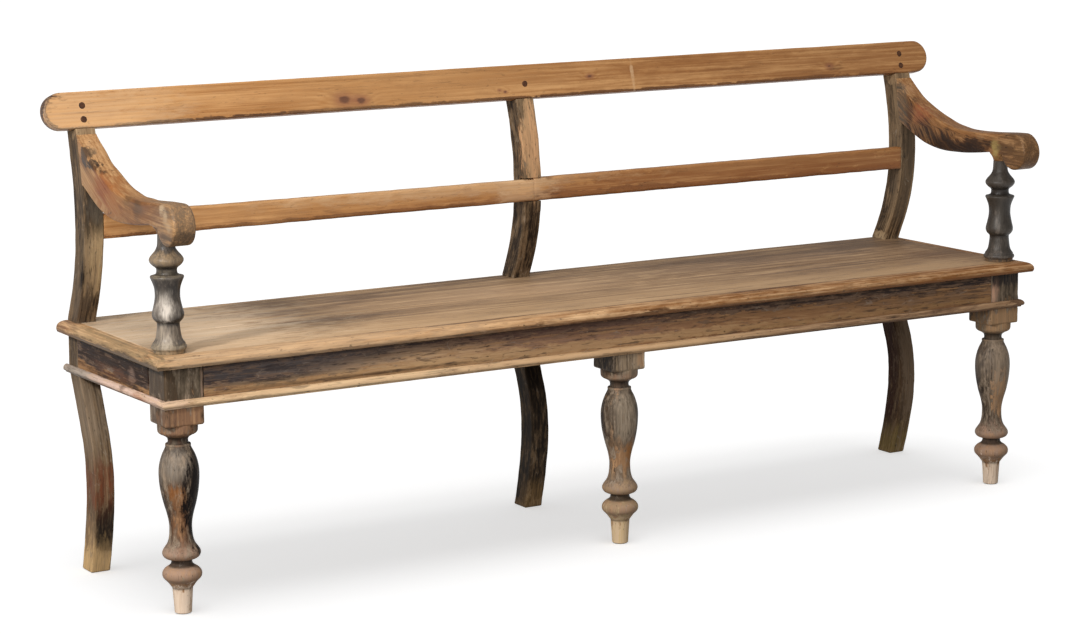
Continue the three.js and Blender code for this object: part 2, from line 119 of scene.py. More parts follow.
LEAN_SIN, LEAN_COS = math.sin(LEAN), math.cos(LEAN)
RAIL_HALF = 33.5 * MM
RAIL_THICK = 22 * MM
RAIL_END = corners("top_rail")[1, 0]
MIDDLE_RAIL = corners("middle_rail_left")[:, 2]
MIDDLE_THICK = 20 * MM
GAP = 0.3 * MM
SLIVER = 0.05 * MM

# Edges bent more than this are sharp, and a full crest on a turned shaft stands out by this
# height from the mean within this span
SHARP = math.radians(38)
CREST_SPAN = 7 * MM
CREST_HEIGHT = 2.6 * MM

# First seed of each kind of piece, so that no two wander alike
SEED = {
    "leg": 20, "block": 30, "post": 40, "apron": 60, "moulding": 160, "front_board": 200,
    "rear_board": 220, "front_nosing": 240, "end_nosing": 250, "top_rail": 300, "peg": 320,
    "middle_rail": 340, "arm": 380, "boss": 395, "support": 400,
}

# Turned profiles in millimetres: height, radius, and 1 where the tool left a corner
LEG_PROFILE = (
    (0, 13.6, 1), (1.6, 15.2, 1), (22, 16.4, 0), (45.6, 18.1, 1), (48.6, 20.4, 1),
    (56, 25.9, 0), (63, 32.6, 0), (67.4, 34.5, 0), (72, 34.5, 0), (76, 32.9, 0),
    (80.6, 28.6, 0), (85, 21.9, 0), (88.6, 18.9, 0), (92.4, 18.1, 1), (96.4, 18.4, 1),
    (97.6, 25.6, 0), (100.6, 30.8, 0), (105.6, 33.6, 0), (110.4, 33.4, 0), (116, 30.3, 0),
    (124.3, 24.6, 0), (134.4, 21.3, 0), (147.8, 19.9, 0), (161.3, 20.2, 0), (178, 23.4, 0),
    (198, 29.1, 0), (221.8, 33.7, 0), (247.6, 35.5, 0), (265.4, 33.7, 0), (280.6, 29.1, 0),
    (291.6, 23.8, 0), (296.6, 21.9, 1), (297.4, 22.6, 0), (300.2, 22.2, 1), (301, 18.7, 1),
    (306.4, 17.7, 0), (311.6, 19.6, 0), (316.4, 26.6, 1), (318.6, 31.6, 0), (322, 34.6, 0),
    (327, 35.4, 0), (335.4, 35.5, 1),
)
SUPPORT_PROFILE = (
    (0, 27.6, 1), (5.4, 28.2, 1), (6.6, 30, 0), (9.4, 31, 0), (12.4, 30.4, 1), (13.4, 28.8, 0),
    (16.4, 28.2, 1), (20, 25.4, 0), (24, 23.2, 0), (29, 21.8, 0), (35.4, 20.8, 0), (41.5, 20.1, 0),
    (48, 19.5, 0), (52, 19.8, 1), (54.6, 22.4, 0), (58, 25.4, 0), (62, 27.2, 0), (66, 27.7, 0),
    (70.6, 27, 0), (76, 25.6, 0), (82, 24.2, 0), (88, 22.9, 0), (94, 22, 0), (100, 21.7, 0),
    (107, 22, 0), (113, 22.9, 0), (119, 24.8, 0), (124.5, 27, 0), (128, 28.6, 0),
    (130.4, 29.4, 0), (132.2, 28.8, 1), (133.8, 23.4, 0), (136, 19, 1), (140, 17.9, 0),
    (144.6, 18, 1), (147, 19.6, 0), (150.6, 24.2, 0), (154.6, 27.9, 0), (158.6, 29.7, 0),
    (162, 29.4, 0), (165.6, 27.4, 0),
    (169, 24.6, 0), (172.4, 21.6, 0), (176, 18.8, 0), (180.6, 16.4, 0), (187, 14.9, 0),
    (202.4, 14.2, 1),
)
BOSS_PROFILE = ((0, 13.4, 1), (0.6, 14, 0), (8, 16.7, 0), (16, 22, 0), (20, 22, 1))
BOSS_DROP = 16 * MM

# A peg's depth behind the rail's face and its radius, in millimetres
PEG_PROFILE = ((-0.5, 4.6), (-0.45, 5.6), (0, 6.2), (1, 6.4), (35, 6.4))

# A rear post's bow towards the front as shares, and its sweep: height, then bow
LOWER_BOW = ((0, 0.44), (0.19, 0.77), (0.4, 1), (0.61, 0.93), (0.83, 0.45), (1, 0))
UPPER_BOW = ((0, 0), (0.16, 0.58), (0.33, 0.93), (0.5, 1), (0.67, 0.87), (0.84, 0.58), (1, 0.18))
LOWER_SWEEP = 61 * MM
UPPER_SWEEP = 55 * MM
JOINT_BOTTOM = SEAT - 90 * MM

# Edge sections as shares: outwards, upwards, and 1 at a corner
MOULDING_SECTION = (
    (0.02, 0, 1), (0.35, 0.02, 1), (0.42, 0.18, 1), (0.72, 0.22, 0), (0.93, 0.33, 0), (1, 0.46, 0),
    (0.96, 0.62, 0), (0.76, 0.8, 0), (0.45, 0.93, 1), (0.25, 0.99, 1), (0.02, 1, 1),
)
NOSING_SECTION = (
    (0.005, 0, 1), (0.86, 0, 0), (0.94, 0.04, 0), (0.985, 0.17, 0), (1, 0.36, 0),
    (0.96, 0.58, 0), (0.85, 0.78, 0), (0.66, 0.92, 0), (0.4, 0.985, 0), (0.02, 1, 1),
)

MOULDING_WIDTH = 8 * MM
MOULDING_HEIGHT = 15 * MM

# How far the moulding hangs under the aprons, and how much more at the back of the left end
MOULDING_DROP = 4 * MM
MOULDING_SAG = 5 * MM

# Height of the arms' grain at each place along them, towards the back
ARM_LINE = (np.array((-260, -160, -100, -50, 0, 50, 90, 140)) * MM,
            np.array((690, 692, 694, 700, 712, 738, 770, 815)) * MM)

# An arm's outline as shares: along its reach, up its rise, and how far down the underside is
ARM_TOP = (
    (0, 0), (0.07, -0.01), (0.21, -0.055), (0.33, -0.077), (0.45, -0.058), (0.585, 0.054),
    (0.74, 0.3), (0.88, 0.6),
)
ARM_UNDER = (
    (0.185, -0.047, 0.56), (0.315, -0.076, 0.61), (0.458, -0.056, 0.69), (0.6, 0.07, 0.83),
    (0.73, 0.28, 0.95), (0.83, 0.49, 0.99),
)
ARM_WIDTH = 42 * MM
ARM_DEPTH = 70 * MM
ARM_JOINT = 88 * MM
ARM_ARRIS = 0.5 * MM
ARM_ROUND = 6.5 * MM
SCROLL = 36 * MM
SCROLL_Y = FRONT - 22 * MM
ARM_HEIGHT = SEAT + 0.624 * (TOP - SEAT)
SUPPORT_X = END - 25 * MM
SUPPORT_Y = FRONT + 35 * MM


class BenchShape(PropertyGroup):
    """Sizes of the wear and of the meshes"""

    arris: FloatProperty(
        name="Arris", description="Radius that wear has given to a sawn edge",
        default=2.2 * MM, min=0.3 * MM, max=6 * MM, unit="LENGTH",
    )
    unevenness: FloatProperty(
        name="Unevenness", description="How far old faces wander from flat",
        default=0.5 * MM, min=0, max=2 * MM, unit="LENGTH",
    )
    step: FloatProperty(
        name="Step", description="Distance between the rings of a long piece",
        default=8 * MM, min=3 * MM, max=40 * MM, unit="LENGTH",
    )
    segments: IntProperty(
        name="Segments", description="Points round a turned piece", default=112, min=32, max=256,
    )
    post_lean: FloatProperty(
        name="Middle post lean", description="How far the middle post's head has moved over",
        default=6 * MM, min=0, max=12 * MM, unit="LENGTH",
    )


def colour_property(label, about, code):
    """A colour of the panel, given as sRGB hex and kept as linear."""
    return FloatVectorProperty(
        name=label, description=about, default=linear(code), size=3, min=0, max=1, subtype="COLOR",
    )


class BenchFinish(PropertyGroup):
    """Colours that the finishes share"""

    honey: colour_property("Honey wood", "Waxed bare wood of the top and middle rails", "#CE9C66")
    honey_deep: colour_property("Deep honey", "Late wood and waxed shade of the rails", "#A06B38")
    scrubbed: colour_property("Scrubbed wood", "Dry wood of the seat", "#C3A17B")
    scrubbed_deep: colour_property("Scrubbed shade", "Dry late wood of the seat", "#8F7050")
    stain: colour_property("Stain", "Dark stain left on the frame", "#2E2521")
    stain_worn: colour_property("Worn stain", "Stain rubbed to grey-brown", "#6B5B4C")
    grime: colour_property("Grime", "Dirt in hollows and cracks", "#1D1815")


# Numbers for shapes

def smooth(low, high, value):
    """From 0 to 1 with an easy start and stop as the value goes from low to high: 3tt - 2ttt."""
    t = np.clip((value - low) / (high - low), 0, 1)
    return t * t * (3 - 2 * t)


def ripple(points, wavelength, seed):
    """Smooth unevenness, mostly from -1 to 1: the mean of ten sine waves with seeded
    directions, phases and lengths round the wavelength."""
    rng = np.random.default_rng(seed)
    waves = rng.normal(size=(10, points.shape[-1]))
    waves /= np.linalg.norm(waves, axis=1, keepdims=True)
    lengths = wavelength * rng.uniform(0.55, 1.7, 10)
    phases = rng.uniform(0, 2 * np.pi, 10)
    return 1.8 * np.sin((points @ waves.T) * (2 * np.pi / lengths) + phases).mean(axis=-1)


def wander(along, wavelength, seed):
    """The same unevenness along a line."""
    return ripple(np.asarray(along)[..., None], wavelength, seed)


def sunken(shape, along, wavelength, seed):
    """How far an old face lies under flat along a line: the most that it wanders, times half
    of 1 plus the unevenness."""
    return shape.unevenness * (0.5 + 0.5 * wander(along, wavelength, seed))


def curve(points, steps):
    """A Catmull-Rom curve: between two points, the cubic whose slope at each is half the way
    from the point before it to the point after it."""
    points = np.asarray(points, float)
    last = len(points) - 1
    index = np.arange(last)
    p0, p1, p2, p3 = (points[np.clip(index + k, 0, last)][:, None] for k in (-1, 0, 1, 2))
    v0, v1 = (p2 - p0) / 2, (p3 - p1) / 2
    t = np.linspace(0, 1, steps, endpoint=False)[None, :, None]
    body = (2 * p1 - 2 * p2 + v0 + v1) * t**3 + (3 * p2 - 3 * p1 - 2 * v0 - v1) * t**2
    return np.vstack([(body + v0 * t + p1).reshape(-1, points.shape[1]), points[-1:]])


def crisp(rows, steps):
    """Curves through the rows that break at each row marked 1, joined end to end."""
    rows = np.asarray(rows, float)
    breaks = sorted({0, len(rows) - 1} | set(np.flatnonzero(rows[:, 2] > 0)))
    spans = [curve(rows[a : b + 1, :2], steps) for a, b in zip(breaks, breaks[1:])]
    return np.vstack([spans[0]] + [span[1:] for span in spans[1:]])


def stations(low, high, step):
    """Even places from low to high, about a step apart."""
    return np.linspace(low, high, max(2, int(round((high - low) / step)) + 1))


def section_table(arc=5, shares=(0.03, 0.1, 0.24, 0.42, 0.58, 0.76, 0.9, 0.97)):
    """A rectangle with round corners as a table. Each row is a point: its place is
    column 0 times half the width plus column 1 times the radius, and the same upwards with
    columns 2 and 3. Column 4 is its share of the way along a side, or 0 on a corner."""
    arcs, rows = [], []
    for turn, (sx, sy) in enumerate(((1, 1), (-1, 1), (-1, -1), (1, -1))):
        angle = np.radians(90 * turn) + np.linspace(0, np.pi / 2, arc)
        arcs.append(np.column_stack([
            np.full(arc, sx), np.cos(angle) - sx, np.full(arc, sy), np.sin(angle) - sy,
            np.zeros(arc),
        ]))
    for turn in range(4):
        start, end = arcs[turn][-1], arcs[(turn + 1) % 4][0]
        t = np.array(shares)[:, None]
        side = start * (1 - t) + end * t
        side[:, 4] = np.minimum(shares, 1 - np.array(shares))
        rows += [arcs[turn], side]
    return np.vstack(rows)


SECTION = section_table()


def closed_ends(along, radius, arc=5):
    """Stations with extra rings that round both ends: each ring's inset from the section is
    the radius times 1 - cos, and it stands back from the end by the radius times 1 - sin."""
    angle = np.linspace(0, np.pi / 2, arc)
    back, inset = radius * (1 - np.sin(angle)), radius * (1 - np.cos(angle))
    low, high = along[0], along[-1]
    inner = along[(along > low + 1.5 * radius) & (along < high - 1.5 * radius)]
    place = np.concatenate([low + back[::-1], inner, high - back])
    shrink = np.concatenate([inset[::-1], np.zeros(len(inner)), inset])
    return place, shrink


def bar(axis, along, across, up, radius, shape, seed, end_radius=None, wave=1.0):
    """A sawn bar: a rectangle with round corners carried along an axis. across and up give
    its two faces each way, as numbers or one for each station. The corner radius and the
    faces wander a little, only inwards."""
    place, shrink = closed_ends(np.asarray(along, float), end_radius or radius)
    limits = []
    for k, faces in enumerate((across, up)):
        for m, face in enumerate(faces):
            value = np.interp(place, along, np.broadcast_to(face, np.shape(along)))
            inward = 1 if m == 0 else -1
            uneven = wave * sunken(shape, place, 0.4, seed + 3 * k + m)
            limits.append(value + inward * (uneven + shrink))
    a0, a1, b0, b1 = (limit[:, None] for limit in limits)
    wear = 1 + 0.45 * wander(place, 0.13, seed + 11) + 0.3 * wander(place, 0.035, seed + 12)
    round_off = np.maximum(radius * wear - shrink, radius * 0.12)[:, None]
    round_off = np.minimum(round_off, np.minimum(a1 - a0, b1 - b0) * 0.49)
    a = (a0 + a1) / 2 + SECTION[:, 0] * (a1 - a0) / 2 + SECTION[:, 1] * round_off
    b = (b0 + b1) / 2 + SECTION[:, 2] * (b1 - b0) / 2 + SECTION[:, 3] * round_off
    c = np.broadcast_to(place[:, None], a.shape)
    distance = SECTION[:, 4] * np.maximum(a1 - a0, b1 - b0)
    relief = np.exp(-distance / (5 * MM))
    relief = np.maximum(relief, smooth(0, radius, shrink)[:, None])
    order = {"X": (c, a, b), "Y": (a, c, b), "Z": (a, b, c)}[axis]
    return np.stack(order, axis=-1), relief


def relief_of(height, radius):
    """How far each point of a profile stands out from the mean within about 7 mm of it: 1 on
    a crest, -1 in a hollow."""
    weight = np.exp(-(((height[:, None] - height[None, :]) / CREST_SPAN) ** 2))
    weight = weight * np.maximum(np.gradient(height), SLIVER)[None, :]
    mean = weight @ radius / weight.sum(1)
    return np.clip((radius - mean) / CREST_HEIGHT, -1, 1)


def round_the_axis(shape):
    """Angles round a vertical axis, closer together at the corners of a square about it: an
    even angle plus a small share of the sine of four times it."""
    angle = np.linspace(0, 2 * np.pi, shape.segments, endpoint=False)
    return angle + 0.14 * np.sin(4 * angle)


def turned(profile, centre, base, shape, seed, steps=5):
    """A turned shaft: the profile's radius at each height, carried round a vertical axis, a
    little out of round."""
    outline = crisp(profile, steps) * MM
    height, radius = outline[:, 0], outline[:, 1]
    angle = round_the_axis(shape)
    away = np.stack([np.cos(angle), np.sin(angle)])
    point = np.stack(
        np.broadcast_arrays(away[0] * 30 * MM, away[1] * 30 * MM, height[:, None]), axis=-1
    )
    out = radius[:, None] * (1 - 0.008 * (1 + ripple(point, 0.05, seed)))
    rings = np.stack([
        centre[0] + out * away[0], centre[1] + out * away[1],
        np.broadcast_to(base + height[:, None], out.shape),
    ], axis=-1)
    relief = np.broadcast_to(relief_of(height, radius)[:, None], out.shape)
    return rings, relief


def square_block(half, heights, centre, shape, seed):
    """A square block over a shaft in polar form: at each angle the radius is the half width
    over the larger of cos and sin, and no more than the worn corner's distance."""
    angle = round_the_axis(shape)
    across = np.maximum(abs(np.cos(angle)), abs(np.sin(angle)))[None]
    heights = np.asarray(heights)
    inset = shape.arris * (1 - smooth(0, shape.arris, heights - heights[0]))[:, None] * 0.6
    worn = shape.arris * (1.1 + 0.5 * wander(heights, 0.03, seed))[:, None]
    radius = np.minimum((half - inset) / across, half * math.sqrt(2) - worn - inset)
    rings = np.stack([
        centre[0] + radius * np.cos(angle),
        centre[1] + radius * np.sin(angle),
        np.broadcast_to(heights[:, None], radius.shape),
    ], axis=-1)
    corner = half * math.sqrt(2) - (half / across)
    relief = np.broadcast_to(np.exp(-corner / (3 * MM)), radius.shape)
    return rings, np.maximum(relief, smooth(4 * MM, 0, heights - heights[0])[:, None])


def post_curve():
    """A post's back edge as rows of y and z: its lower and its upper bow, with the straight
    joint at the seat between them."""
    lower = [(BACK - bow * LOWER_SWEEP, up * JOINT_BOTTOM) for up, bow in LOWER_BOW]
    upper = [(BACK - bow * UPPER_SWEEP, SEAT + up * (TOP - SEAT)) for up, bow in UPPER_BOW]
    return np.vstack([curve(lower, 12), curve(upper, 12)])


POST_CURVE = post_curve()


def post_back(height):
    """The back edge of a rear post at a height, between the points of its two curves."""
    return np.interp(height, POST_CURVE[:, 1], POST_CURVE[:, 0])


RAIL_CENTRE = TOP - RAIL_HALF * LEAN_COS
RAIL_FACE = float(post_back(RAIL_CENTRE)) - POST_DEPTH
RAIL_UNDER = TOP - 2 * RAIL_HALF * LEAN_COS - RAIL_THICK * LEAN_SIN
ARM_END = RAIL_UNDER - 5 * MM
ARM_RISE = ARM_END - ARM_HEIGHT


def on_rail(x, rise, depth):
    """A point of the leaning top rail: rise up its face and depth behind it, turned back."""
    y = RAIL_FACE + rise * LEAN_SIN + depth * LEAN_COS
    z = RAIL_CENTRE + rise * LEAN_COS - depth * LEAN_SIN
    return np.stack(np.broadcast_arrays(x, y, z), axis=-1)


def along_grain(points, way):
    """Each point as its way along the grain and its two ways across it. A bent piece's grain
    follows its bend."""
    x, y, z = points.T
    if way == "post":
        return np.stack([z, x, y - post_back(z)], axis=-1)
    if way == "arm":
        return np.stack([y, x, z - np.interp(y, *ARM_LINE)], axis=-1)
    return np.roll(points, -"XYZ".index(way), axis=1)


def solid(name, shells, way, slot, *nodes):
    """A closed mesh from shells of rings: faces join each ring to the next, and a flat face
    closes each end. It carries the wear and the way of the grain as attributes and stands
    for its CAD nodes."""
    points, faces, wear, first = [], [], [], 0
    for rings, relief in shells:
        count, around = rings.shape[:2]
        grid = first + np.arange(count * around).reshape(count, around)
        beside = np.roll(grid, -1, axis=1)
        quads = np.stack([grid[:-1], beside[:-1], beside[1:], grid[1:]], axis=-1).reshape(-1, 4)
        faces += quads.tolist() + [grid[0].tolist(), grid[-1][::-1].tolist()]
        points.append(rings.reshape(-1, 3))
        wear.append(np.broadcast_to(relief, (count, around)).ravel())
        first += count * around
    mesh = bpy.data.meshes.new(name)
    mesh.from_pydata(np.vstack(points).tolist(), [], faces)
    mesh.attributes.new("relief", "FLOAT", "POINT").data.foreach_set(
        "value", np.concatenate(wear).astype(np.float32)
    )
    grain = along_grain(np.vstack(points), way)
    mesh.attributes.new("grain", "FLOAT_VECTOR", "POINT").data.foreach_set(
        "vector", grain.astype(np.float32).ravel()
    )
    shell = bmesh.new()
    shell.from_mesh(mesh)
    bmesh.ops.remove_doubles(shell, verts=shell.verts, dist=0.01 * MM)
    bmesh.ops.dissolve_degenerate(shell, edges=shell.edges, dist=0.005 * MM)
    bmesh.ops.recalc_face_normals(shell, faces=shell.faces)
    shell.to_mesh(mesh)
    shell.free()
    mesh.shade_smooth()
    mesh.set_sharp_from_angle(angle=SHARP)
    mesh.materials.append(finish_for(slot))
    piece = bpy.data.objects.new(name, mesh)
    bpy.context.scene.collection.objects.link(piece)
    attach(piece, BODY)
    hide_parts(*nodes)


# Materials

# Kinds of node that are used often, with their settings
EASE = {"kind": "ShaderNodeMapRange", "interpolation_type": "SMOOTHSTEP"}
MIX = {"kind": "ShaderNodeMix", "give": 2, "data_type": "RGBA"}
LENGTH = {"kind": "ShaderNodeVectorMath", "give": 1, "operation": "LENGTH"}

# Noises along the grain: length and width of a blotch in millimetres, detail, roughness and
# distortion. Real fibres and pores are far finer than these and would not show, so they are
# drawn as coarse as they need to be; the bands are as wide as groups of growth rings.
NOISES = {
    "fibre": (130, 3.2, 3, 0.6, 0), "band": (500, 12, 4, 0.6, 0.2),
    "broad": (340, 75, 3, 0.6, 0.3), "ragged": (45, 13, 5, 0.7, 0),
    "split": (200, 7, 2, 0.5, 0), "specks": (11, 4, 2, 0.5, 0),
    "rub": (50, 5, 3, 0.6, 0.4), "trace": (60, 22, 1, 0.4, 0.9),
}
FRAY = 3.6  # how far noise frays the rim of a patch, in half sizes
LOG_ANGLE = math.radians(1.4)
BUMP_HEIGHT = 1.0 * MM
COAT_ROUGHNESS = 0.35
KNOT_HALO, KNOT_HEART, SCRATCH = linear("#84503A"), linear("#4A2C26"), linear("#A89C8C")


def add(tree, inputs, kind, give=0, **settings):
    """Adds a node with its settings, links or sets its inputs, and returns one output."""
    node = tree.nodes.new(kind)
    for key, value in settings.items():
        setattr(node, key, value)
    for key, value in inputs.items():
        socket = node.inputs[key]
        if isinstance(value, bpy.types.NodeSocket):
            tree.links.new(value, socket)
        elif socket.type == "RGBA":
            socket.default_value = (*value, 1)
        else:
            socket.default_value = value
    return node.outputs[give]


def weigh(tree, start, *terms):
    """The start plus each term's weight times its socket."""
    total = start
    for weight, socket in terms:
        total = add(
            tree, {0: socket, 1: weight, 2: total}, "ShaderNodeMath", operation="MULTIPLY_ADD"
        )
    return total


def lay(tree, under, over, value, low, high, most=1.0):
    """A colour laid over another: none of it where the value is at low and most of it where
    the value is at high, eased between the two."""
    share = add(tree, {0: value, 1: low, 2: high, 4: most}, **EASE)
    return add(tree, {0: share, 6: under, 7: over}, **MIX)


def stretched(tree, grain, along, across, detail, rough, warp):
    """Noise drawn out along the grain: one blotch is about along by across, in millimetres."""
    scale = (1 / (along * MM), 1 / (across * MM), 1 / (across * MM))
    moved = add(tree, {"Vector": grain, "Scale": scale}, "ShaderNodeMapping")
    return add(
        tree,
        {"Vector": moved, "Scale": 1, "Detail": detail, "Roughness": rough, "Distortion": warp},
        "ShaderNodeTexNoise",
    )


def hairlines(tree, noise, edge, core):
    """Fine lines where a noise crosses its middle: 1 within core of it, 0 beyond edge."""
    off = add(
        tree, {0: weigh(tree, -0.5, (1.0, noise))}, "ShaderNodeMath", operation="ABSOLUTE"
    )
    return add(tree, {0: off, 1: edge, 2: core}, **EASE)


def away_from(tree, place, centre, size):
    """The distance from a centre, counted in half sizes. Both are in millimetres."""
    scale = [1 / (s * MM) for s in size]
    away = [-c / s for c, s in zip(centre, size)]
    moved = add(tree, {"Vector": place, "Scale": scale, "Location": away}, "ShaderNodeMapping")
    return add(tree, {0: moved}, **LENGTH)


def spot(tree, place, ragged, where, edge=0.4):
    """A ragged patch: 1 inside an ellipsoid and 0 outside it, with an edge as wide as that
    share of the size on either side. where is the centre, then the half size."""
    distance = weigh(tree, away_from(tree, place, where[:3], where[3:]), (FRAY, ragged))
    rim = 1 + FRAY / 2
    return add(tree, {0: distance, 1: rim + edge, 2: rim - edge}, **EASE)


def aged_wood(
    name, light, deep, stain, worn, grime, cover=0.5, contrast=0.16, wear=0.25,
    weights=(1.1, 0.7, 0.9, 0.8), slopes=(), patches=(), edges=(), lift=0.35, hollow=0.5,
    grain=(1.0, 1.0), ring=8, pith=(100, 100), figure=0.2, tints=(), knots=(), scuff=0.0,
    scratch=0.0, fleck=0.4, rough=(0.6, 0.5), shine=0.3, coat=0.0, bump=0.5, ior=1.42,
):
    """Old stained wood. Growth rings and fibres along the grain give the bare wood, from
    light to deep. A streaky stain lies over it, thin where it is rubbed and thick in hollows,
    and greyed to the worn colour in places. Local tints, scuffs, knots, dirt, checks, flecks
    and scratches come last. Every place and size is in millimetres.

    The stain: cover is the share that it keeps, contrast the softness of its edges, wear
    what the crests lose, and weights what the band, fibre, broad and ragged noises add. Each
    slope is (axis, from, to, amount), each patch (centre, half size, amount), and an edge is
    a patch on worn arrises alone. lift greys the crests and hollow darkens the hollows.
    The wood: grain is the strength of fibres and bands, ring the width of a growth ring,
    pith the middle of the log across the grain and figure the strength of the rings. A tint
    is (centre, half size, colour, strength) and maybe a softness, a knot (centre, size).
    scuff, scratch and fleck are strengths. rough is the roughness of bare wood and stain."""
    material = bpy.data.materials.new(name)
    material.use_nodes = True
    tree = material.node_tree
    shader = tree.nodes["Principled BSDF"]
    place = add(tree, {}, "ShaderNodeTexCoord", give="Object")
    relief = add(tree, {}, "ShaderNodeAttribute", give="Fac", attribute_name="relief")
    run = add(tree, {}, "ShaderNodeAttribute", give="Vector", attribute_name="grain")
    fibre, band, broad, ragged, split, specks = (
        stretched(tree, run, *NOISES[noise])
        for noise in ("fibre", "band", "broad", "ragged", "split", "specks")
    )

    # Distance from the middle of the log, which the board leaves at a slight angle
    middle = (0, -pith[0] * MM, -pith[1] * MM)
    log = add(
        tree, {"Vector": run, "Location": middle, "Rotation": (0, 0, LOG_ANGLE)},
        "ShaderNodeMapping",
    )
    log = add(tree, {0: log, 1: (0, 1, 1)}, "ShaderNodeVectorMath", operation="MULTIPLY")
    radius = add(tree, {0: log}, **LENGTH)
    turns = weigh(tree, 0.0, (2 * math.pi / (ring * MM), radius), (16.0, band), (10.0, broad))
    cores = []
    for *centre, size in knots:
        distance = away_from(tree, place, centre, (size / 0.6, size, size))
        cores.append(weigh(tree, distance, (1.0, ragged)))
        bend = add(tree, {0: distance, 1: 3.6, 2: 0.3}, **EASE)
        turns = weigh(tree, turns, (9.0, bend))
    rings = add(tree, {0: turns}, "ShaderNodeMath", operation="SINE")

    # Bare wood
    fine, wide = 1.5 * grain[0], 1.7 * grain[1]
    tone = weigh(tree, 0.5 - (fine + wide) / 2, (figure, rings), (fine, fibre), (wide, band))
    wood = lay(tree, light, deep, tone, -0.1, 1.1)
    wood = lay(tree, wood, deep, broad, 0.4, 0.75, 0.6)

    # Stain that is left, thinner on the crests and thicker in the hollows
    share = weigh(
        tree, cover - sum(weights) / 2, (-wear, relief),
        *zip(weights, (band, fibre, broad, ragged)),
    )
    for axis, start, end, amount in slopes:
        way = add(tree, {0: place}, "ShaderNodeSeparateXYZ", give="XYZ".index(axis))
        slope = add(tree, {0: way, 1: start * MM, 2: end * MM}, **EASE)
        share = weigh(tree, share, (amount, slope))
    for *where, amount in patches:
        share = weigh(tree, share, (amount, spot(tree, place, ragged, where)))
    arris = add(tree, {0: relief, 1: 0.2, 2: 0.9}, **EASE)
    for *where, amount in edges:
        local = weigh(tree, 0.0, (arris, spot(tree, place, ragged, where)))
        share = weigh(tree, share, (amount, local))
    stained = add(tree, {0: share, 1: 0.5 - contrast, 2: 0.5 + contrast}, **EASE)
    fine, wide = 2.2 * weights[1], 1.4 * weights[0] + 0.9 * weights[3]
    greyed = weigh(tree, 0.42 - (fine + wide) / 2, (fine, fibre), (wide, ragged))
    film = lay(tree, stain, worn, greyed, 0.2, 0.8)
    film = lay(tree, film, worn, relief, 0.0, 1.0, lift)
    colour = add(tree, {0: stained, 6: wood, 7: film}, **MIX)

    # Tints that come and go in streaks
    streaks = weigh(tree, -1.2, (2.4, fibre), (2.0, band))
    for row in tints:
        tint, strength, *soft = row[6:]
        mask = weigh(tree, 0.0, (streaks, spot(tree, place, ragged, row[:6], *soft)))
        mask = weigh(tree, 0.0, (strength, mask))
        colour = add(tree, {0: mask, 6: colour, 7: linear(tint)}, **MIX)

    # Short scuffs: stained wood is rubbed to the worn colour, bare wood to its light one
    if scuff:
        rub = stretched(tree, run, *NOISES["rub"])
        bared = add(tree, {0: stained, 6: light, 7: worn}, **MIX)
        colour = lay(tree, colour, bared, rub, 0.55, 0.66, scuff)
        colour = lay(tree, colour, stain, rub, 0.45, 0.34, scuff)

    # Knots: a dark core in a reddish ring
    for core in cores:
        colour = lay(tree, colour, KNOT_HALO, core, 2.3, 1.0, 0.6)
        colour = lay(tree, colour, KNOT_HEART, core, 1.25, 0.85, 0.7)

    # Dirt in the hollows, fine checks along the grain, dark flecks and pale scratches
    colour = lay(tree, colour, grime, relief, -0.05, -0.8, hollow)
    torn = add(tree, {0: broad, 1: 0.5, 2: 0.6}, **EASE)
    check = weigh(tree, 0.0, (torn, hairlines(tree, split, 0.012, 0.003)))
    dark = weigh(tree, 0.0, (0.6 * fleck, check))
    colour = add(tree, {0: dark, 6: colour, 7: grime}, **MIX)
    colour = lay(tree, colour, grime, specks, 0.66, 0.74, 0.7 * fleck)
    if scratch:
        trace = stretched(tree, run, *NOISES["trace"])
        dry = add(tree, {0: ragged, 1: 0.5, 2: 0.62, 4: scratch}, **EASE)
        marks = weigh(tree, 0.0, (dry, hairlines(tree, trace, 0.02, 0.004)))
        colour = add(tree, {0: marks, 6: colour, 7: SCRATCH}, **MIX)

    gloss = add(tree, {0: stained, 3: rough[0], 4: rough[1]}, **EASE)
    roughness = weigh(tree, -0.15, (1.0, gloss), (0.18, fibre), (0.12, ragged))
    height = weigh(
        tree, 0.0, (0.6, fibre), (0.05, rings), (0.7, band), (0.45, ragged), (-0.4, check),
        (0.08, stained),
    )
    normal = add(
        tree, {"Strength": bump, "Distance": BUMP_HEIGHT, "Height": height}, "ShaderNodeBump"
    )
    for part, made in (("Base Color", colour), ("Roughness", roughness), ("Normal", normal)):
        tree.links.new(made, shader.inputs[part])
    for part, value in (
        ("IOR", ior), ("Specular IOR Level", shine), ("Coat Weight", coat),
        ("Coat Roughness", COAT_ROUGHNESS),
    ):
        shader.inputs[part].default_value = value


# Where a material's own look doesn't say otherwise, its colours are these of the panel
SHARED_COLOURS = {
    "light": "scrubbed", "deep": "scrubbed_deep", "stain": "stain", "worn": "stain_worn",
    "grime": "grime",
}


def finish_for(slot):
    """The material of a slot of the record, made when it is first asked for. A colour in its
    look is an sRGB hex code or the name of one in the panel."""
    name = f"aged_{slot}"
    if name not in bpy.data.materials:
        finish = bpy.context.scene.bench_finish
        look = SHARED_COLOURS | FINISHES[slot]()
        for part in SHARED_COLOURS:
            code = look[part]
            look[part] = linear(code) if code.startswith("#") else getattr(finish, code)
        aged_wood(name, **look)
    return bpy.data.materials[name]


# The looks. Places are in millimetres in the part's frame. A patch or an edge is x, y, z, the
# half size each way and an amount. A tint has a colour, a strength and maybe a softness in
# place of the amount. A knot is x, y, z and size.

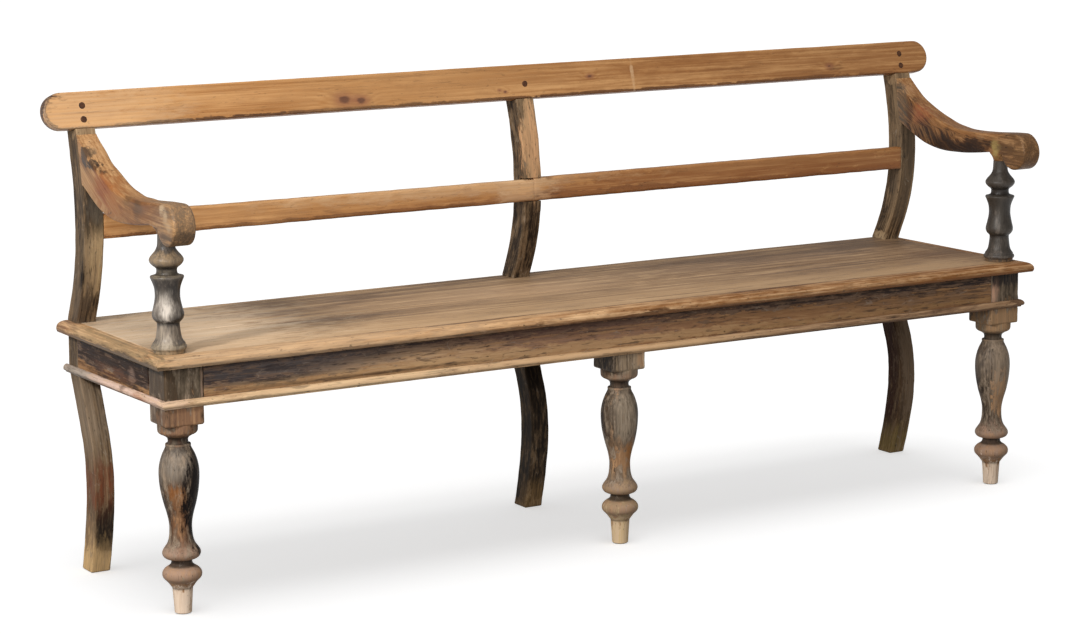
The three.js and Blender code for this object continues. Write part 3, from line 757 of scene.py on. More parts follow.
def waxed_rail_wood():
    """Pine planks, waxed honey brown: soft streaks lengthwise, and browner to the right, partly
    in the wood and partly as a painted falloff of the light. Dark along the lower edges, partly
    with old stain that hands and dust left and partly with painted shade under the rails; the
    left end's face and arrises are painted shade."""
    brown, pale = "#8E5C30", "#E2BE93"
    return {
        "light": "honey", "deep": "honey_deep", "stain": "#2E1C12", "worn": "#6E4726",
        # The stain's slope along X darkens the planks to the right: partly the wood, partly a
        # painted falloff of the light
        "cover": -0.08, "contrast": 0.3, "wear": 0.0, "slopes": [("X", -200, 1000, 0.2)],
        "grain": (0.8, 1.1), "ring": 9, "pith": (120, 720), "figure": 0.13, "rough": (0.5, 0.5),
        "shine": 0.4, "coat": 0.08, "bump": 0.35, "ior": 1.45,
        # The edges along both rails' lower arrises are old stain and painted shade under the
        # rails; the edge at the left end is painted shade on the end's arrises
        "edges": [
            (0, 175, 812, 1100, 30, 12, 1.3), (-985, 175, 850, 20, 50, 50, 0.9),
            (0, 150, 620, 1000, 30, 12, 1.1),
        ],
        # The patches low on the middle rail, from z 616 to 624, are stain and painted shade along
        # its lower edge
        "patches": [
            (30, 146, 624, 50, 20, 14, 0.8), (250, 146, 622, 120, 20, 12, 0.75),
            (-400, 146, 616, 500, 20, 8, 0.6), (600, 146, 618, 300, 20, 10, 0.6),
            (-620, 146, 660, 30, 20, 10, 0.4), (30, 146, 660, 20, 20, 8, 0.5),
            (740, 175, 835, 30, 20, 6, 0.45), (600, 175, 845, 300, 20, 6, 0.25),
            (-300, 175, 872, 500, 20, 6, 0.25),
        ],
        "tints": [
            # Browner to the right: partly the wood, partly a painted falloff of the light
            (1550, 170, 750, 1500, 9000, 9000, brown, 0.6, 0.8),
            (500, 146, 640, 530, 100, 60, "#8A5428", 0.6, 0.12),
            (-400, 146, 622, 600, 100, 10, "#8E5C32", 0.5, 0.5),
            (-620, 146, 640, 160, 100, 50, "#A4784C", 0.4, 0.7),
            (-200, 146, 655, 300, 100, 14, pale, 0.4, 0.7),
            (500, 146, 658, 400, 100, 10, "#A87848", 0.4, 0.7),
            (-250, 176, 852, 220, 100, 50, "#D8A870", 0.2, 0.7),
            (-900, 180, 850, 160, 100, 60, pale, 0.3, 0.6),
            (248, 174, 840, 3, 40, 50, pale, 0.35, 0.5),
            (-20, 146, 640, 50, 40, 30, pale, 0.35, 0.6),
            # Painted shade on the face of the top rail's left end
            (-990, 196.5, 840, 45, 12.5, 90, "#3A2418", 0.95, 0.3),
        ],
        "knots": [
            (-392, 174, 836, 12), (-358, 174, 832, 9), (-58, 174, 834, 3), (-46, 174, 830, 3),
            (149, 178, 850, 5), (729, 175, 839, 6),
        ],
    }


def dark_post_wood():
    """Sawn posts: dark stain, greyed, with bare honey wood where backs and hands rub."""
    tan, earth, coal = "#AE946E", "#6E402A", "#1A1614"
    return {
        "light": "#A88C6A", "deep": "#6E563E", "stain": "#261D16", "worn": "#78624A",
        "cover": 0.62, "wear": 0.12, "weights": (0.9, 0.5, 0.9, 1.1),
        "slopes": [("Z", 35, 0, -0.5)], "lift": 0.25, "ring": 7, "figure": 0.15, "scuff": 0.3,
        "scratch": 0.25, "fleck": 0.9, "rough": (0.65, 0.58), "shine": 0.08,
        "patches": [
            (2, 145, 735, 24, 30, 85, -1.5), (-20, 200, 740, 4, 60, 140, 0.9),
            (0, 190, 545, 50, 80, 75, 0.6), (0, 190, 230, 50, 80, 170, 1.7),
            (-905, 150, 565, 30, 20, 55, -0.6), (-913, 150, 685, 30, 30, 30, 0.8),
            (-932, 168, 740, 6, 12, 90, 0.8), (-932, 200, 500, 10, 15, 40, 0.8),
            (-913, 170, 815, 40, 50, 18, -0.8), (-930, 160, 0, 60, 80, 40, -0.9),
            (-936, 200, 50, 10, 60, 70, -0.9), (-908, 150, 85, 18, 20, 45, 1),
            (913, 170, 810, 40, 50, 14, -0.8), (890, 215, 468, 12, 20, 8, -0.8),
            (905, 160, 200, 20, 10, 140, -0.1), (893, 200, 200, 4, 40, 160, 0.9),
            (913, 140, 690, 30, 10, 50, 0.8),
        ],
        "tints": [
            (2, 145, 735, 24, 30, 90, "#D0A074", 0.7),
            (-905, 150, 570, 30, 20, 80, tan, 0.65, 0.6),
            (-915, 170, 170, 30, 60, 50, earth, 0.75, 0.6),
            (-930, 160, 10, 60, 80, 45, "#D6B07C", 0.7),
            (-908, 150, 80, 18, 20, 50, coal, 0.6, 0.6),
            (-930, 170, 300, 30, 60, 80, "#8C7862", 0.6, 0.6),
            (913, 150, 620, 40, 30, 200, "#6A5A48", 0.5),
            (-932, 190, 600, 20, 50, 200, "#6E5C4A", 0.5),
            (-908, 140, 675, 20, 20, 25, "#8E8272", 0.6, 0.7),
            (-936, 165, 560, 7, 12, 100, coal, 0.9, 0.7),
            (-936, 185, 720, 10, 8, 80, coal, 0.7, 0.9),
            (-936, 205, 650, 10, 6, 100, coal, 0.6, 0.9), (-920, 140, 665, 30, 20, 40, coal, 0.6),
            (0, 190, 200, 50, 80, 170, coal, 0.6), (913, 190, 200, 50, 80, 150, coal, 0.5),
            (0, 150, 20, 30, 30, 30, "#94754E", 0.7, 0.6),
            (900, 170, 200, 30, 50, 150, "#5E402A", 0.4, 0.7),
            (890, 215, 466, 12, 20, 8, "#A89070", 0.6),
            (893, 200, 210, 5, 60, 170, "#33190E", 0.9, 0.4),
            (918, 150, 220, 20, 45, 150, "#7C6854", 0.8, 0.3),
            (910, 170, 20, 30, 60, 40, "#8A7448", 0.7, 0.6),
        ],
    }


def rubbed_leg_wood():
    """Turned legs: brown-grey stain polished on the swell, with a painted highlight on the left
    leg's swell, orange where it is rubbed through, and pale on the rings and the foot. The sides
    seen edge-on from the camera and the middle block's left face are dark with stain and
    painted shade."""
    orange, dusty, pale, coal = "#84542E", "#9A7E6A", "#E0C8B0", "#1E1714"
    return {
        "light": "#B58C66", "deep": "#7E5C40", "stain": "#2C221B", "worn": "#93806C", "cover": 0.8,
        "wear": 0.25, "weights": (0.3, 0.25, 0.7, 1.7),
        "slopes": [("Z", 120, 90, -0.4), ("Z", 60, 45, -0.7)], "lift": 0.6, "hollow": 0.8,
        "ring": 6, "figure": 0.1, "scratch": 0.3, "fleck": 0.8, "rough": (0.62, 0.42),
        "shine": 0.07,
        "patches": [
            (-910, -189.6, 212, 16, 20, 20, -0.5), (-902, -179.6, 170, 12, 20, 30, -0.35),
            # The first patch below darkens the left leg's right side: stain and painted shade
            (-866, -169.6, 220, 26, 40, 90, 0.9), (-896, -189.6, 350, 50, 40, 20, -0.6),
            (-896, -159.6, 318, 50, 50, 12, -0.6), (0, -179.6, 165, 30, 20, 20, -0.6),
            (30, -195.6, 352, 12, 10, 14, -0.9), (896, -189.6, 340, 60, 50, 30, -0.55),
            (896, -189.6, 190, 20, 20, 40, -0.5),
        ],
        "tints": [
            (0, -159.6, 85, 3000, 200, 42, dusty, 0.75, 0.3),
            (0, -159.6, 0, 3000, 200, 50, pale, 0.95, 0.15),
            (-916, -189.6, 222, 13, 20, 14, orange, 0.7, 0.6),
            (-904, -179.6, 170, 16, 20, 50, "#6E4A32", 0.7, 0.7),
            # Coal on the left leg's left side, seen edge-on from the camera: stain and painted
            # shade
            (-920, -149.6, 190, 8, 16, 50, coal, 0.7, 0.6),
            (-900, -193.6, 236, 20, 14, 10, "#3A2A20", 0.6, 0.8),
            # Grey on the left leg's swell: worn stain and a painted highlight
            (-908, -179.6, 265, 30, 30, 26, "#85796C", 0.6, 0.6),
            (-896, -189.6, 352, 50, 40, 18, "#7A5A46", 0.6),
            (-926, -159.6, 352, 20, 40, 18, "#5E4A3C", 0.6),
            (-896, -159.6, 318, 50, 50, 16, "#7C5E4A", 0.65),
            # Coal down the left leg's right side: stain and painted shade
            (-866, -169.6, 225, 26, 40, 110, coal, 0.95, 0.4),
            (-872, -191.6, 200, 27, 34, 70, "#17110F", 0.95, 0.35),
            (-4, -189.6, 250, 20, 30, 50, "#9A8A76", 0.5, 0.6),
            (0, -159.6, 165, 50, 50, 35, "#8A6A4E", 0.45),
            (10, -185.6, 170, 12, 14, 30, "#9E6C40", 0.6, 0.7),
            # Coal down the sides of the middle and right legs seen edge-on, and on the middle
            # block's left face: stain and painted shade
            (-30, -145.6, 230, 10, 16, 70, coal, 0.75, 0.6),
            (866, -145.6, 230, 10, 16, 70, coal, 0.7, 0.6),
            (930, -169.6, 230, 14, 30, 80, coal, 0.7, 0.6),
            (36, -159.6, 220, 16, 50, 100, coal, 0.6, 0.6),
            (-35, -179.6, 350, 15, 30, 20, coal, 0.8),
            (4, -189.6, 350, 30, 30, 22, "#A08A70", 0.7),
            (34, -195.6, 350, 5, 30, 30, "#D0B898", 0.7),
            (0, -159.6, 10, 50, 50, 50, "#CBAE82", 0.7),
            (0, -159.6, 90, 50, 50, 40, "#98805F", 0.5),
            (0, -159.6, 318, 50, 50, 16, "#9A7A62", 0.6),
            (896, -179.6, 335, 60, 50, 35, "#957A5C", 0.6),
            (896, -159.6, 260, 50, 50, 40, "#85776A", 0.4),
            (0, -195.6, 410, 3000, 20, 30, "#5E5242", 0.5),
            (896, -189.6, 240, 20, 30, 70, "#98846E", 0.5, 0.6),
            (-932, -159.6, 410, 20, 100, 40, "#4A3C2E", 0.85, 0.2),
            (868, -195.6, 402, 9, 10, 24, "#C89C80", 0.75, 0.7),
            (872, -195.6, 405, 3, 10, 20, dusty, 0.6), (-863, -195.6, 405, 3, 10, 30, dusty, 0.6),
            (896, -195.6, 430, 100, 20, 14, "#1E1D22", 0.7),
        ],
    }


def dark_apron_wood():
    """Aprons: almost black stain worn in long streaks to reddish brown wood."""
    tan = "#B8946A"
    return {
        "light": "#A17B56", "deep": "#6E4C34", "stain": "#332A28", "worn": "#745C4A",
        "cover": 0.47, "contrast": 0.1, "wear": 0.1, "weights": (2.1, 1.2, 0.9, 1.7),
        # The first slope darkens the apron towards the top, under the nosing: stain and painted
        # shade
        "slopes": [("Z", 405, 435, 0.45), ("Z", 400, 388, -0.6)], "ring": 7, "figure": 0.15,
        "scuff": 0.65, "scratch": 0.22, "fleck": 0.9, "rough": (0.62, 0.5), "shine": 0.07,
        "patches": [
            (-680, -195.6, 418, 220, 30, 22, 0.9), (-420, -195.6, 405, 120, 30, 12, -0.5),
            (-480, -195.6, 434, 220, 30, 8, 0.5), (700, -195.6, 420, 200, 30, 20, 0.2),
            (-932, 0, 410, 20, 200, 35, 0.8), (-932, 50, 398, 10, 50, 10, -0.5),
            (-932, -50, 405, 10, 12, 12, -0.6), (300, -195.6, 410, 250, 30, 12, -0.25),
        ],
        "tints": [
            (-120, -195.6, 408, 300, 30, 20, "#94705A", 0.55, 0.6),
            (400, -195.6, 405, 350, 30, 16, "#8A6444", 0.5, 0.7),
            (680, -195.6, 400, 200, 30, 14, "#8A6848", 0.5, 0.7),
            (-450, -195.6, 406, 180, 30, 16, "#C09C76", 0.7, 0.6),
            (-300, -195.6, 392, 600, 30, 10, tan, 0.6),
            (-680, -195.6, 420, 200, 30, 20, "#5A5250", 0.55, 0.6),
            (-550, -195.6, 388.5, 220, 30, 3, "#4A3424", 0.7, 0.8),
            (-100, -195.6, 430, 250, 30, 12, "#5A4038", 0.5, 0.7),
            (600, -195.6, 390, 400, 30, 5, "#94724C", 0.5),
            (-932, 0, 415, 20, 250, 30, "#2A1A10", 0.85, 0.5),
            (-932, 40, 396, 10, 70, 10, "#5E4030", 0.7, 0.6),
            (-932, -50, 405, 10, 12, 12, "#8A7060", 0.5, 0.6),
        ],
    }


def bare_inner_wood():
    """Inner rails that were never finished: dry brown wood with a furry sawn face."""
    return {
        "light": "#9A7D5C", "deep": "#6A5139", "worn": "#5D4C3C", "cover": 0.25, "wear": 0.0,
        "rough": (0.8, 0.75), "bump": 0.7,
    }


def worn_moulding_wood():
    """Moulding: stain rubbed back to dusty pale wood, with painted shade in the quirk along its
    lower edge, and browner to the right, partly in the wood and partly as a painted falloff of
    the light.
    """
    dusty = "#D2B4A2"
    return {
        "light": "#CBA882", "deep": "#967150", "stain": "#33251D", "worn": "#6C523E",
        "cover": 0.22, "wear": 0.2, "weights": (1.1, 0.6, 0.9, 1.3),
        # The slope along X darkens the right: partly the wood, partly a painted falloff of the
        # light. The slope down Z is painted shade in the quirk along the lower edge
        "slopes": [("X", -300, 900, 0.25), ("Z", 371.5, 368.5, 0.5)], "hollow": 0.85,
        "scuff": 0.45, "fleck": 0.9, "rough": (0.62, 0.55), "shine": 0.2,
        "patches": [
            (-940, 200, 380, 20, 60, 20, 0.7), (940, -190, 380, 30, 20, 20, 0.6),
            (-570, -200, 370, 30, 30, 5, 0.8), (-400, -200, 379, 40, 30, 3, 0.7),
            (-220, -200, 369, 30, 30, 4, 0.8), (-30, -200, 372, 40, 30, 4, 0.6),
        ],
        "tints": [
            (-940, -20, 375, 50, 250, 30, dusty, 0.85, 0.6),
            (-940, 200, 375, 50, 90, 30, "#9A9082", 0.6, 0.6),
            (0, -205, 383.5, 900, 20, 1.5, "#6A4C34", 0.7, 0.8),
            (-940, -100, 373, 30, 30, 6, "#9A6244", 0.7, 0.6),
            (-940, 30, 368, 30, 50, 4, "#6E4C3C", 0.7, 0.7),
            (-940, -20, 371, 30, 12, 10, "#5A4034", 0.6, 0.7),
            (-940, 130, 366, 30, 40, 4, "#54463C", 0.6, 0.7),
            # Browner to the right: partly the wood, partly a painted falloff of the light
            (1300, -100, 380, 1200, 2000, 2000, "#7E5F45", 0.6, 0.7),
            (-920, -200, 380, 30, 20, 20, "#C4A48E", 0.6),
            (-600, -200, 375, 320, 30, 30, "#DEBC92", 0.7, 0.6),
            (-40, -200, 375, 250, 30, 30, "#CFA87C", 0.6, 0.6),
        ],
    }


def scrubbed_seat_wood():
    """Seat boards: dry, scrubbed wood with greyish brown streaks, darker to the back, and paler
    at the left and darker to the right, partly in the wood and partly as a painted falloff of
    the light."""
    brown, dark = "#765A40", "#5C4632"
    return {
        "stain": "#5E4733", "worn": "#8A7058", "cover": 0.24, "contrast": 0.26, "wear": 0.05,
        "weights": (1.6, 0.7, 1.7, 0.7), "slopes": [("Y", -120, 200, 0.16)], "ring": 9,
        "figure": 0.14, "fleck": 0.7, "rough": (0.66, 0.58), "shine": 0.35, "bump": 0.45,
        "tints": [
            # Browner to the right and paler at the left end: partly the wood, partly a painted
            # falloff of the light
            (1600, 100, 460, 1500, 2000, 2000, brown, 0.6, 0.7),
            (-850, 0, 460, 250, 300, 100, "#DCC4A6", 0.55, 0.6),
            (0, -150, 460, 2000, 60, 100, "#D2AC80", 0.35, 0.7),
            (-100, 60, 460, 160, 60, 100, "#C8A480", 0.4, 0.7),
            (780, 170, 460, 120, 60, 100, "#66503C", 0.6, 0.6),
            (900, -40, 460, 90, 100, 100, "#6E5036", 0.6, 0.6),
            (-350, 120, 460, 250, 70, 100, "#86694E", 0.25, 0.7),
            (400, 100, 460, 300, 30, 100, "#7A604A", 0.4, 0.6),
            (0, -183.6, 460, 700, 3, 100, dark, 0.8, 0.5),
            (200, -145.6, 460, 250, 4, 100, dark, 0.4, 0.5),
            (-100, -85.6, 460, 200, 3, 100, dark, 0.4, 0.5),
            (-910, -120, 460, 45, 45, 100, "#7E6448", 0.5, 0.6),
        ],
    }


def worn_nosing_wood():
    """Nosing: the seat's edge, worn to honey wood, dark along its lower arris with stain and
    painted shade, and browner to the right, partly in the wood and partly as a painted falloff
    of the light.
    """
    dark, dusty = "#3E2C1E", "#927856"
    return {
        "light": "#D8B084", "deep": "#A87C50", "stain": "#33241A", "worn": "#7E5C3C",
        "cover": 0.05, "contrast": 0.2, "wear": 0.0, "weights": (1.2, 0.7, 0.9, 1.8),
        # The slope down Z darkens the lower arris: stain and painted shade under the nose
        "slopes": [("Z", 448, 441.5, 0.9)], "scuff": 0.3, "fleck": 0.9, "rough": (0.6, 0.5),
        "patches": [
            (-939, -196.6, 460, 4, 20, 20, 0.9), (-940, -100, 445, 20, 80, 10, 0.7),
            (-945, -160, 448, 20, 30, 8, 0.6), (-955, -160, 458, 12, 20, 6, 0.7),
            (-955, 20, 446, 20, 40, 8, 0.6), (-350, -190, 459, 120, 4, 10, 0.8),
            # The patches at z 443 along the lower arris are stain and painted shade
            (300, -190, 459, 100, 4, 10, 0.8), (-300, -220, 443, 100, 20, 6, 0.6),
            (50, -220, 443, 60, 20, 6, 0.7), (-200, -215, 450, 12, 20, 4, 0.5),
            (60, -215, 450, 20, 20, 3, 0.5),
        ],
        "tints": [
            # Browner to the right: partly the wood, partly a painted falloff of the light
            (1500, -200, 450, 1500, 2000, 2000, "#784A20", 0.75, 0.75),
            (-720, -210, 450, 360, 30, 30, "#BC9E7C", 0.5, 0.6),
            (-955, 0, 450, 35, 250, 20, dusty, 0.8, 0.4),
            # Dark along the left end's lower arris: stain and painted shade
            (-955, 0, 443, 35, 250, 6, dark, 0.7, 0.5),
            (-955, 220, 450, 35, 50, 20, "#7E5A40", 0.6, 0.5),
        ],
    }


def polished_arm_wood():
    """Arms: honey brown wood polished by hands, with dark stain left in patches."""
    coal, grey, umber = "#2A1C14", "#6E5A46", "#6E4526"
    return {
        "light": "#B98F62", "deep": "#855C38", "stain": "#271C15", "worn": "#6C543E", "cover": 0.2,
        "contrast": 0.18, "wear": 0.2, "weights": (0.9, 0.5, 0.9, 1.3), "figure": 0.12,
        "fleck": 0.9, "rough": (0.46, 0.4), "shine": 0.16, "coat": 0.06,
        "patches": [
            (-932, 130, 776, 20, 14, 24, 0.7), (-932, 100, 760, 20, 22, 10, 0.65),
            (-932, 65, 750, 20, 14, 7, 0.6), (890, -50, 680, 20, 100, 22, 0.8),
            (-932, -90, 705, 20, 35, 12, 0.45), (-932, -130, 710, 30, 30, 30, 0.3),
        ],
        "tints": [
            (-932, -60, 700, 30, 120, 50, "#8A6038", 0.75, 0.6),
            (-932, 30, 715, 30, 60, 35, "#8F5A30", 0.7, 0.5),
            (-910, 30, 785, 50, 90, 20, "#C4A078", 0.5, 0.5),
            (-932, 128, 776, 10, 14, 24, "#4A3626", 0.6, 0.7),
            (-932, 90, 757, 10, 28, 8, coal, 0.5, 0.8),
            (-900, -120, 735, 40, 80, 14, "#8C7552", 0.5, 0.5),
            (-905, -135, 736, 30, 24, 10, "#504840", 0.7, 0.7),
            (-910, -230, 700, 60, 75, 60, grey, 0.7, 0.6),
            (-932, -120, 700, 10, 70, 35, umber, 0.8, 0.7),
            (-932, 50, 724, 10, 26, 22, "#7E4424", 0.7, 0.7),
            (-932, -55, 712, 10, 14, 10, "#4A3826", 0.5, 0.9),
            (-932, -100, 700, 10, 16, 14, "#4A3826", 0.6, 0.9),
            (-932, -20, 742, 10, 50, 10, "#B49A70", 0.6, 0.8),
            (-932, -205, 714, 10, 9, 8, "#B89E7E", 0.6, 0.6),
            (-932, -220, 700, 10, 8, 10, "#B89E7E", 0.6, 0.6),
            (-932, -232, 684, 10, 8, 10, "#B89E7E", 0.6, 0.6),
            (-910, -235, 660, 50, 30, 20, "#4E3C2C", 0.5, 0.6),
            (910, 0, 700, 60, 260, 120, "#83562F", 0.7, 0.2),
            (890, 80, 735, 20, 30, 20, "#8A4A30", 0.6, 0.6),
            (890, 120, 790, 30, 30, 12, "#C09670", 0.6, 0.5),
            (890, 70, 700, 20, 35, 30, coal, 0.75, 0.5),
            (890, 115, 735, 20, 16, 35, coal, 0.7, 0.6),
            (890, -30, 680, 20, 90, 25, coal, 0.9, 0.6),
            (890, 148, 760, 10, 20, 70, "#54483A", 0.8, 0.6),
            (890, -20, 670, 20, 80, 12, coal, 0.6, 0.8),
            (890, -120, 695, 20, 50, 12, coal, 0.7, 0.6),
            (890, -190, 690, 20, 30, 30, "#4A3322", 0.6, 0.6),
            (890, -165, 688, 20, 12, 18, "#A89058", 0.7, 0.5),
            (910, -240, 690, 50, 60, 60, "#5E442C", 0.7, 0.5),
        ],
    }


def grey_support_wood():
    """Turned supports: stain polished to grey, darkest round the rims, where the dark bands are
    painted shade on the flanks that face down. The sides seen edge-on from the camera are
    painted shade, and pale patches on the left bell and column are a painted sheen.
    """
    shade_black = "#1F1B19"
    bands = (
        (162, 14, "#937C60"), (139, 8, "#8E806A"), (78, 12, "#7E746A"), (35, 16, "#8A7B6A"),
        (10, 7, "#93836C"), (0, 6, "#A88E6C"),
    )
    return {
        "light": "#98805F", "deep": "#6A5540", "stain": "#2C2622", "worn": "#6E645A", "cover": 1.0,
        "contrast": 0.3, "wear": 0.15, "weights": (0.3, 0.25, 0.5, 0.7), "lift": 0.3,
        "hollow": 0.7, "rough": (0.5, 0.42), "shine": 0.18, "coat": 0.12, "bump": 0.25, "ior": 1.5,
        "tints": [
            *((-907, -160.6, 460 + up, 60, 60, size, code, 0.65, 0.4) for up, size, code in bands),
            # Painted shade down the sides of each support seen edge-on from the camera
            *(
                (side * 907 + turn * 22, -160.6 - turn * 13, 540, 10, 10, 60, shade_black, 0.8, 0.6)
                for side in (-1, 1) for turn in (-1, 1)
            ),
            # Painted shade in bands on the flanks that face down: under the bell, on its upper
            # flare and under the upper bulb
            (0, -160.6, 515, 3000, 3000, 5, shade_black, 0.8, 0.4),
            (0, -160.6, 572, 3000, 3000, 16, shade_black, 0.6, 0.6),
            (0, -160.6, 608, 3000, 3000, 4, shade_black, 0.6, 0.5),
            # A painted sheen on the left support's bell and column
            (-922, -180.6, 543, 11, 14, 24, "#C4B8AA", 0.8, 0.8),
            (-922, -178.6, 490, 11, 14, 16, "#A89A88", 0.6, 0.8),
            (907, -160.6, 580, 60, 60, 130, "#403A33", 0.6, 0.3),
            (907, -160.6, 460, 60, 60, 6, "#8A6E52", 0.6, 0.4),
        ],
    }


def peg_wood():
    """Pegs: dark end grain."""
    return {
        "light": "#5E3A22", "deep": "#3C2416", "stain": "#22160F", "worn": "#4A3020", "cover": 0.5,
        "ring": 3, "rough": (0.6, 0.55),
    }


FINISHES = {
    make.__name__: make
    for make in (
        waxed_rail_wood, dark_post_wood, rubbed_leg_wood, dark_apron_wood, bare_inner_wood,
        worn_moulding_wood, scrubbed_seat_wood, worn_nosing_wood, polished_arm_wood,
        grey_support_wood, peg_wood,
    )
}


# The pieces

class BENCH_OT_front_legs(Operator):
    """Turns the three front legs, each with a square block over its shaft"""

    bl_idname = "bench.front_legs"
    bl_label = "Front legs"

    def execute(self, context):
        shape = context.scene.bench_shape
        places = (("left", -LEG_X), ("middle", 0.0), ("right", LEG_X))
        for k, (where, x) in enumerate(places):
            centre, node = (x, LEG_Y), f"front_leg_{where}"
            shaft, shaft_relief = turned(LEG_PROFILE, centre, 0, shape, SEED["leg"] + k)
            # The block's rings lie close together over its rounded lower arris
            heights = np.concatenate([
                SQUARE_BOTTOM + shape.arris * np.array([0, 0.08, 0.3, 0.65, 1]),
                stations(SQUARE_BOTTOM + 2 * shape.arris, APRON_TOP, 6 * MM),
            ])
            block, block_relief = square_block(
                LEG_HALF, heights, centre, shape, SEED["block"] + k
            )
            # The front apron runs past the middle leg's block, which is cut back behind it
            if where == "middle":
                over = heights > APRON_BOTTOM - GAP
                block[over, :, 1] = np.maximum(block[over, :, 1], FRONT + APRON_THICK + GAP)
            rings = np.concatenate([shaft, block])
            relief = np.concatenate([shaft_relief, block_relief])
            solid(f"{node}_wood", [(rings, relief)], "Z", "rubbed_leg_wood", node)
        return {"FINISHED"}


def post_rings(x, shape, seed, lean, notches):
    """A rear post: a rectangle with round corners at each height, between the front and the
    back edge of the two curves. Each notch is (bottom, top, front) and cuts the front back.
    Under the top rail the rings tilt to lie square to it, up to the sawn top."""
    # Rings lie close together where the foot narrows over its last 1.6 mm
    low = np.array((0, 0.3, 0.8, 1.6, 3)) * MM
    heights = np.concatenate([low, stations(8 * MM, RAIL_CENTRE, shape.step)])
    for bottom, top, _ in notches:
        heights = heights[(heights < bottom - 1 * MM) | (heights > top + 1 * MM)]
        inside = stations(bottom + 1 * MM, min(top, RAIL_CENTRE) - 1 * MM, shape.step)
        rims = [bottom - SLIVER, bottom + SLIVER, top - SLIVER, top + SLIVER]
        heights = np.sort(np.concatenate([heights, inside, rims]))
    # One long face up to the last ring, which the sawn top moves
    heights = np.append(heights[heights < TOP - 24 * MM], TOP - 3 * MM)
    tilt = -LEAN_SIN / LEAN_COS * smooth(SEAT + 0.3, RAIL_UNDER - 4 * MM, heights)
    shrink = 1.2 * MM * (1 - smooth(0, 1.6 * MM, heights))
    back = post_back(heights)
    front = back - POST_DEPTH
    for bottom, top, face in notches:
        inside = (heights > bottom) & (heights < top)
        front = np.where(inside, np.maximum(front, face), front)
    uneven = sunken(shape, heights, 0.3, seed)
    half = POST_HALF - uneven - shrink
    front, back = front + shrink, back - shrink - uneven
    wear = 1.1 + 0.5 * wander(heights, 0.1, seed + 1) + 0.3 * wander(heights, 0.03, seed + 2)
    wear = np.maximum(shape.arris * wear, 0.3 * MM)[:, None]
    middle = x - lean * (heights - SEAT) / (TOP - SEAT)
    px = middle[:, None] + SECTION[:, 0] * half[:, None] + SECTION[:, 1] * wear
    centre, depth = (front + back) / 2, (back - front) / 2
    py = centre[:, None] + SECTION[:, 2] * depth[:, None] + SECTION[:, 3] * wear
    reference = back - POST_DEPTH
    pz = heights[:, None] + tilt[:, None] * (py - reference[:, None])
    slope = np.gradient(post_back(heights), heights)[:, None]
    py = py + slope * (pz - heights[:, None])
    rings = np.stack([px, py, pz], axis=-1)
    relief = np.exp(-SECTION[:, 4] * 40 * MM / (4 * MM))[None] * np.ones((len(heights), 1))
    return rings, relief


def saw_top(rings):
    """The last ring moved along the post into the plane of the top rail's upper edge."""
    head = rings[-1]
    rise = (head[:, 1] - RAIL_FACE) * LEAN_SIN + (head[:, 2] - RAIL_CENTRE) * LEAN_COS
    head[:, 2] += (RAIL_HALF - 0.6 * MM - rise) / LEAN_COS
    return rings


class BENCH_OT_rear_posts(Operator):
    """Saws the three rear posts, notched for the top rail, and the middle one for its rail"""

    bl_idname = "bench.rear_posts"
    bl_label = "Rear posts"

    def execute(self, context):
        shape = context.scene.bench_shape
        rail_back = RAIL_FACE + RAIL_THICK / LEAN_COS + GAP
        top_notch = (RAIL_UNDER + 5.6 * MM, TOP, rail_back - 7 * MM)
        middle_face = float(post_back(MIDDLE_RAIL.mean())) - POST_DEPTH
        middle_notch = (
            MIDDLE_RAIL[0] - GAP, MIDDLE_RAIL[1] + GAP, middle_face + MIDDLE_THICK + GAP,
        )
        apron_notch = (APRON_BOTTOM - GAP, APRON_TOP + GAP, POST_FRONT + APRON_THICK + GAP)
        places = (
            ("left", -POST_X, 0, [top_notch]),
            ("middle", 0.0, shape.post_lean, [apron_notch, middle_notch, top_notch]),
            ("right", POST_X, 0, [top_notch]),
        )
        for k, (where, x, lean, notches) in enumerate(places):
            rings, relief = post_rings(x, shape, SEED["post"] + 5 * k, lean, notches)
            shells, node = [(saw_top(rings), relief)], f"rear_post_{where}"
            solid(f"{node}_wood", shells, "post", "dark_post_wood", node)
        return {"FINISHED"}


class BENCH_OT_aprons(Operator):
    """Saws the aprons under the seat and the bearer between them"""

    bl_idname = "bench.aprons"
    bl_label = "Aprons and bearer"

    def execute(self, context):
        shape = context.scene.bench_shape
        level, bearer = (APRON_BOTTOM, APRON_TOP), (APRON_TOP - BEARER_DEPTH, APRON_TOP)
        inner = END - 2 * LEG_HALF - GAP
        rear = END - 2 * POST_HALF - GAP
        side_run = (LEG_BACK + GAP, POST_FRONT - GAP)
        # Each bar's node, finish, axis, run along it, first face across and its two heights
        dark, bare = "dark_apron_wood", "bare_inner_wood"
        bars = (
            ("front_apron", dark, "X", (-inner, inner), FRONT, level),
            ("side_apron_left", dark, "Y", side_run, -END, level),
            ("side_apron_right", dark, "Y", side_run, END - APRON_THICK, level),
            ("rear_apron", bare, "X", (-rear, rear), POST_FRONT, level),
            ("cross_bearer", bare, "Y", side_run, -BEARER_HALF, bearer),
        )
        for k, (node, slot, axis, run, face, up) in enumerate(bars):
            thick = 2 * BEARER_HALF if up == bearer else APRON_THICK
            shell = bar(
                axis, stations(*run, shape.step), (face, face + thick), up, shape.arris * 0.5,
                shape, SEED["apron"] + 20 * k, end_radius=0.6 * MM, wave=0.5,
            )
            solid(f"{node}_wood", [shell], axis, slot, node)
        return {"FINISHED"}


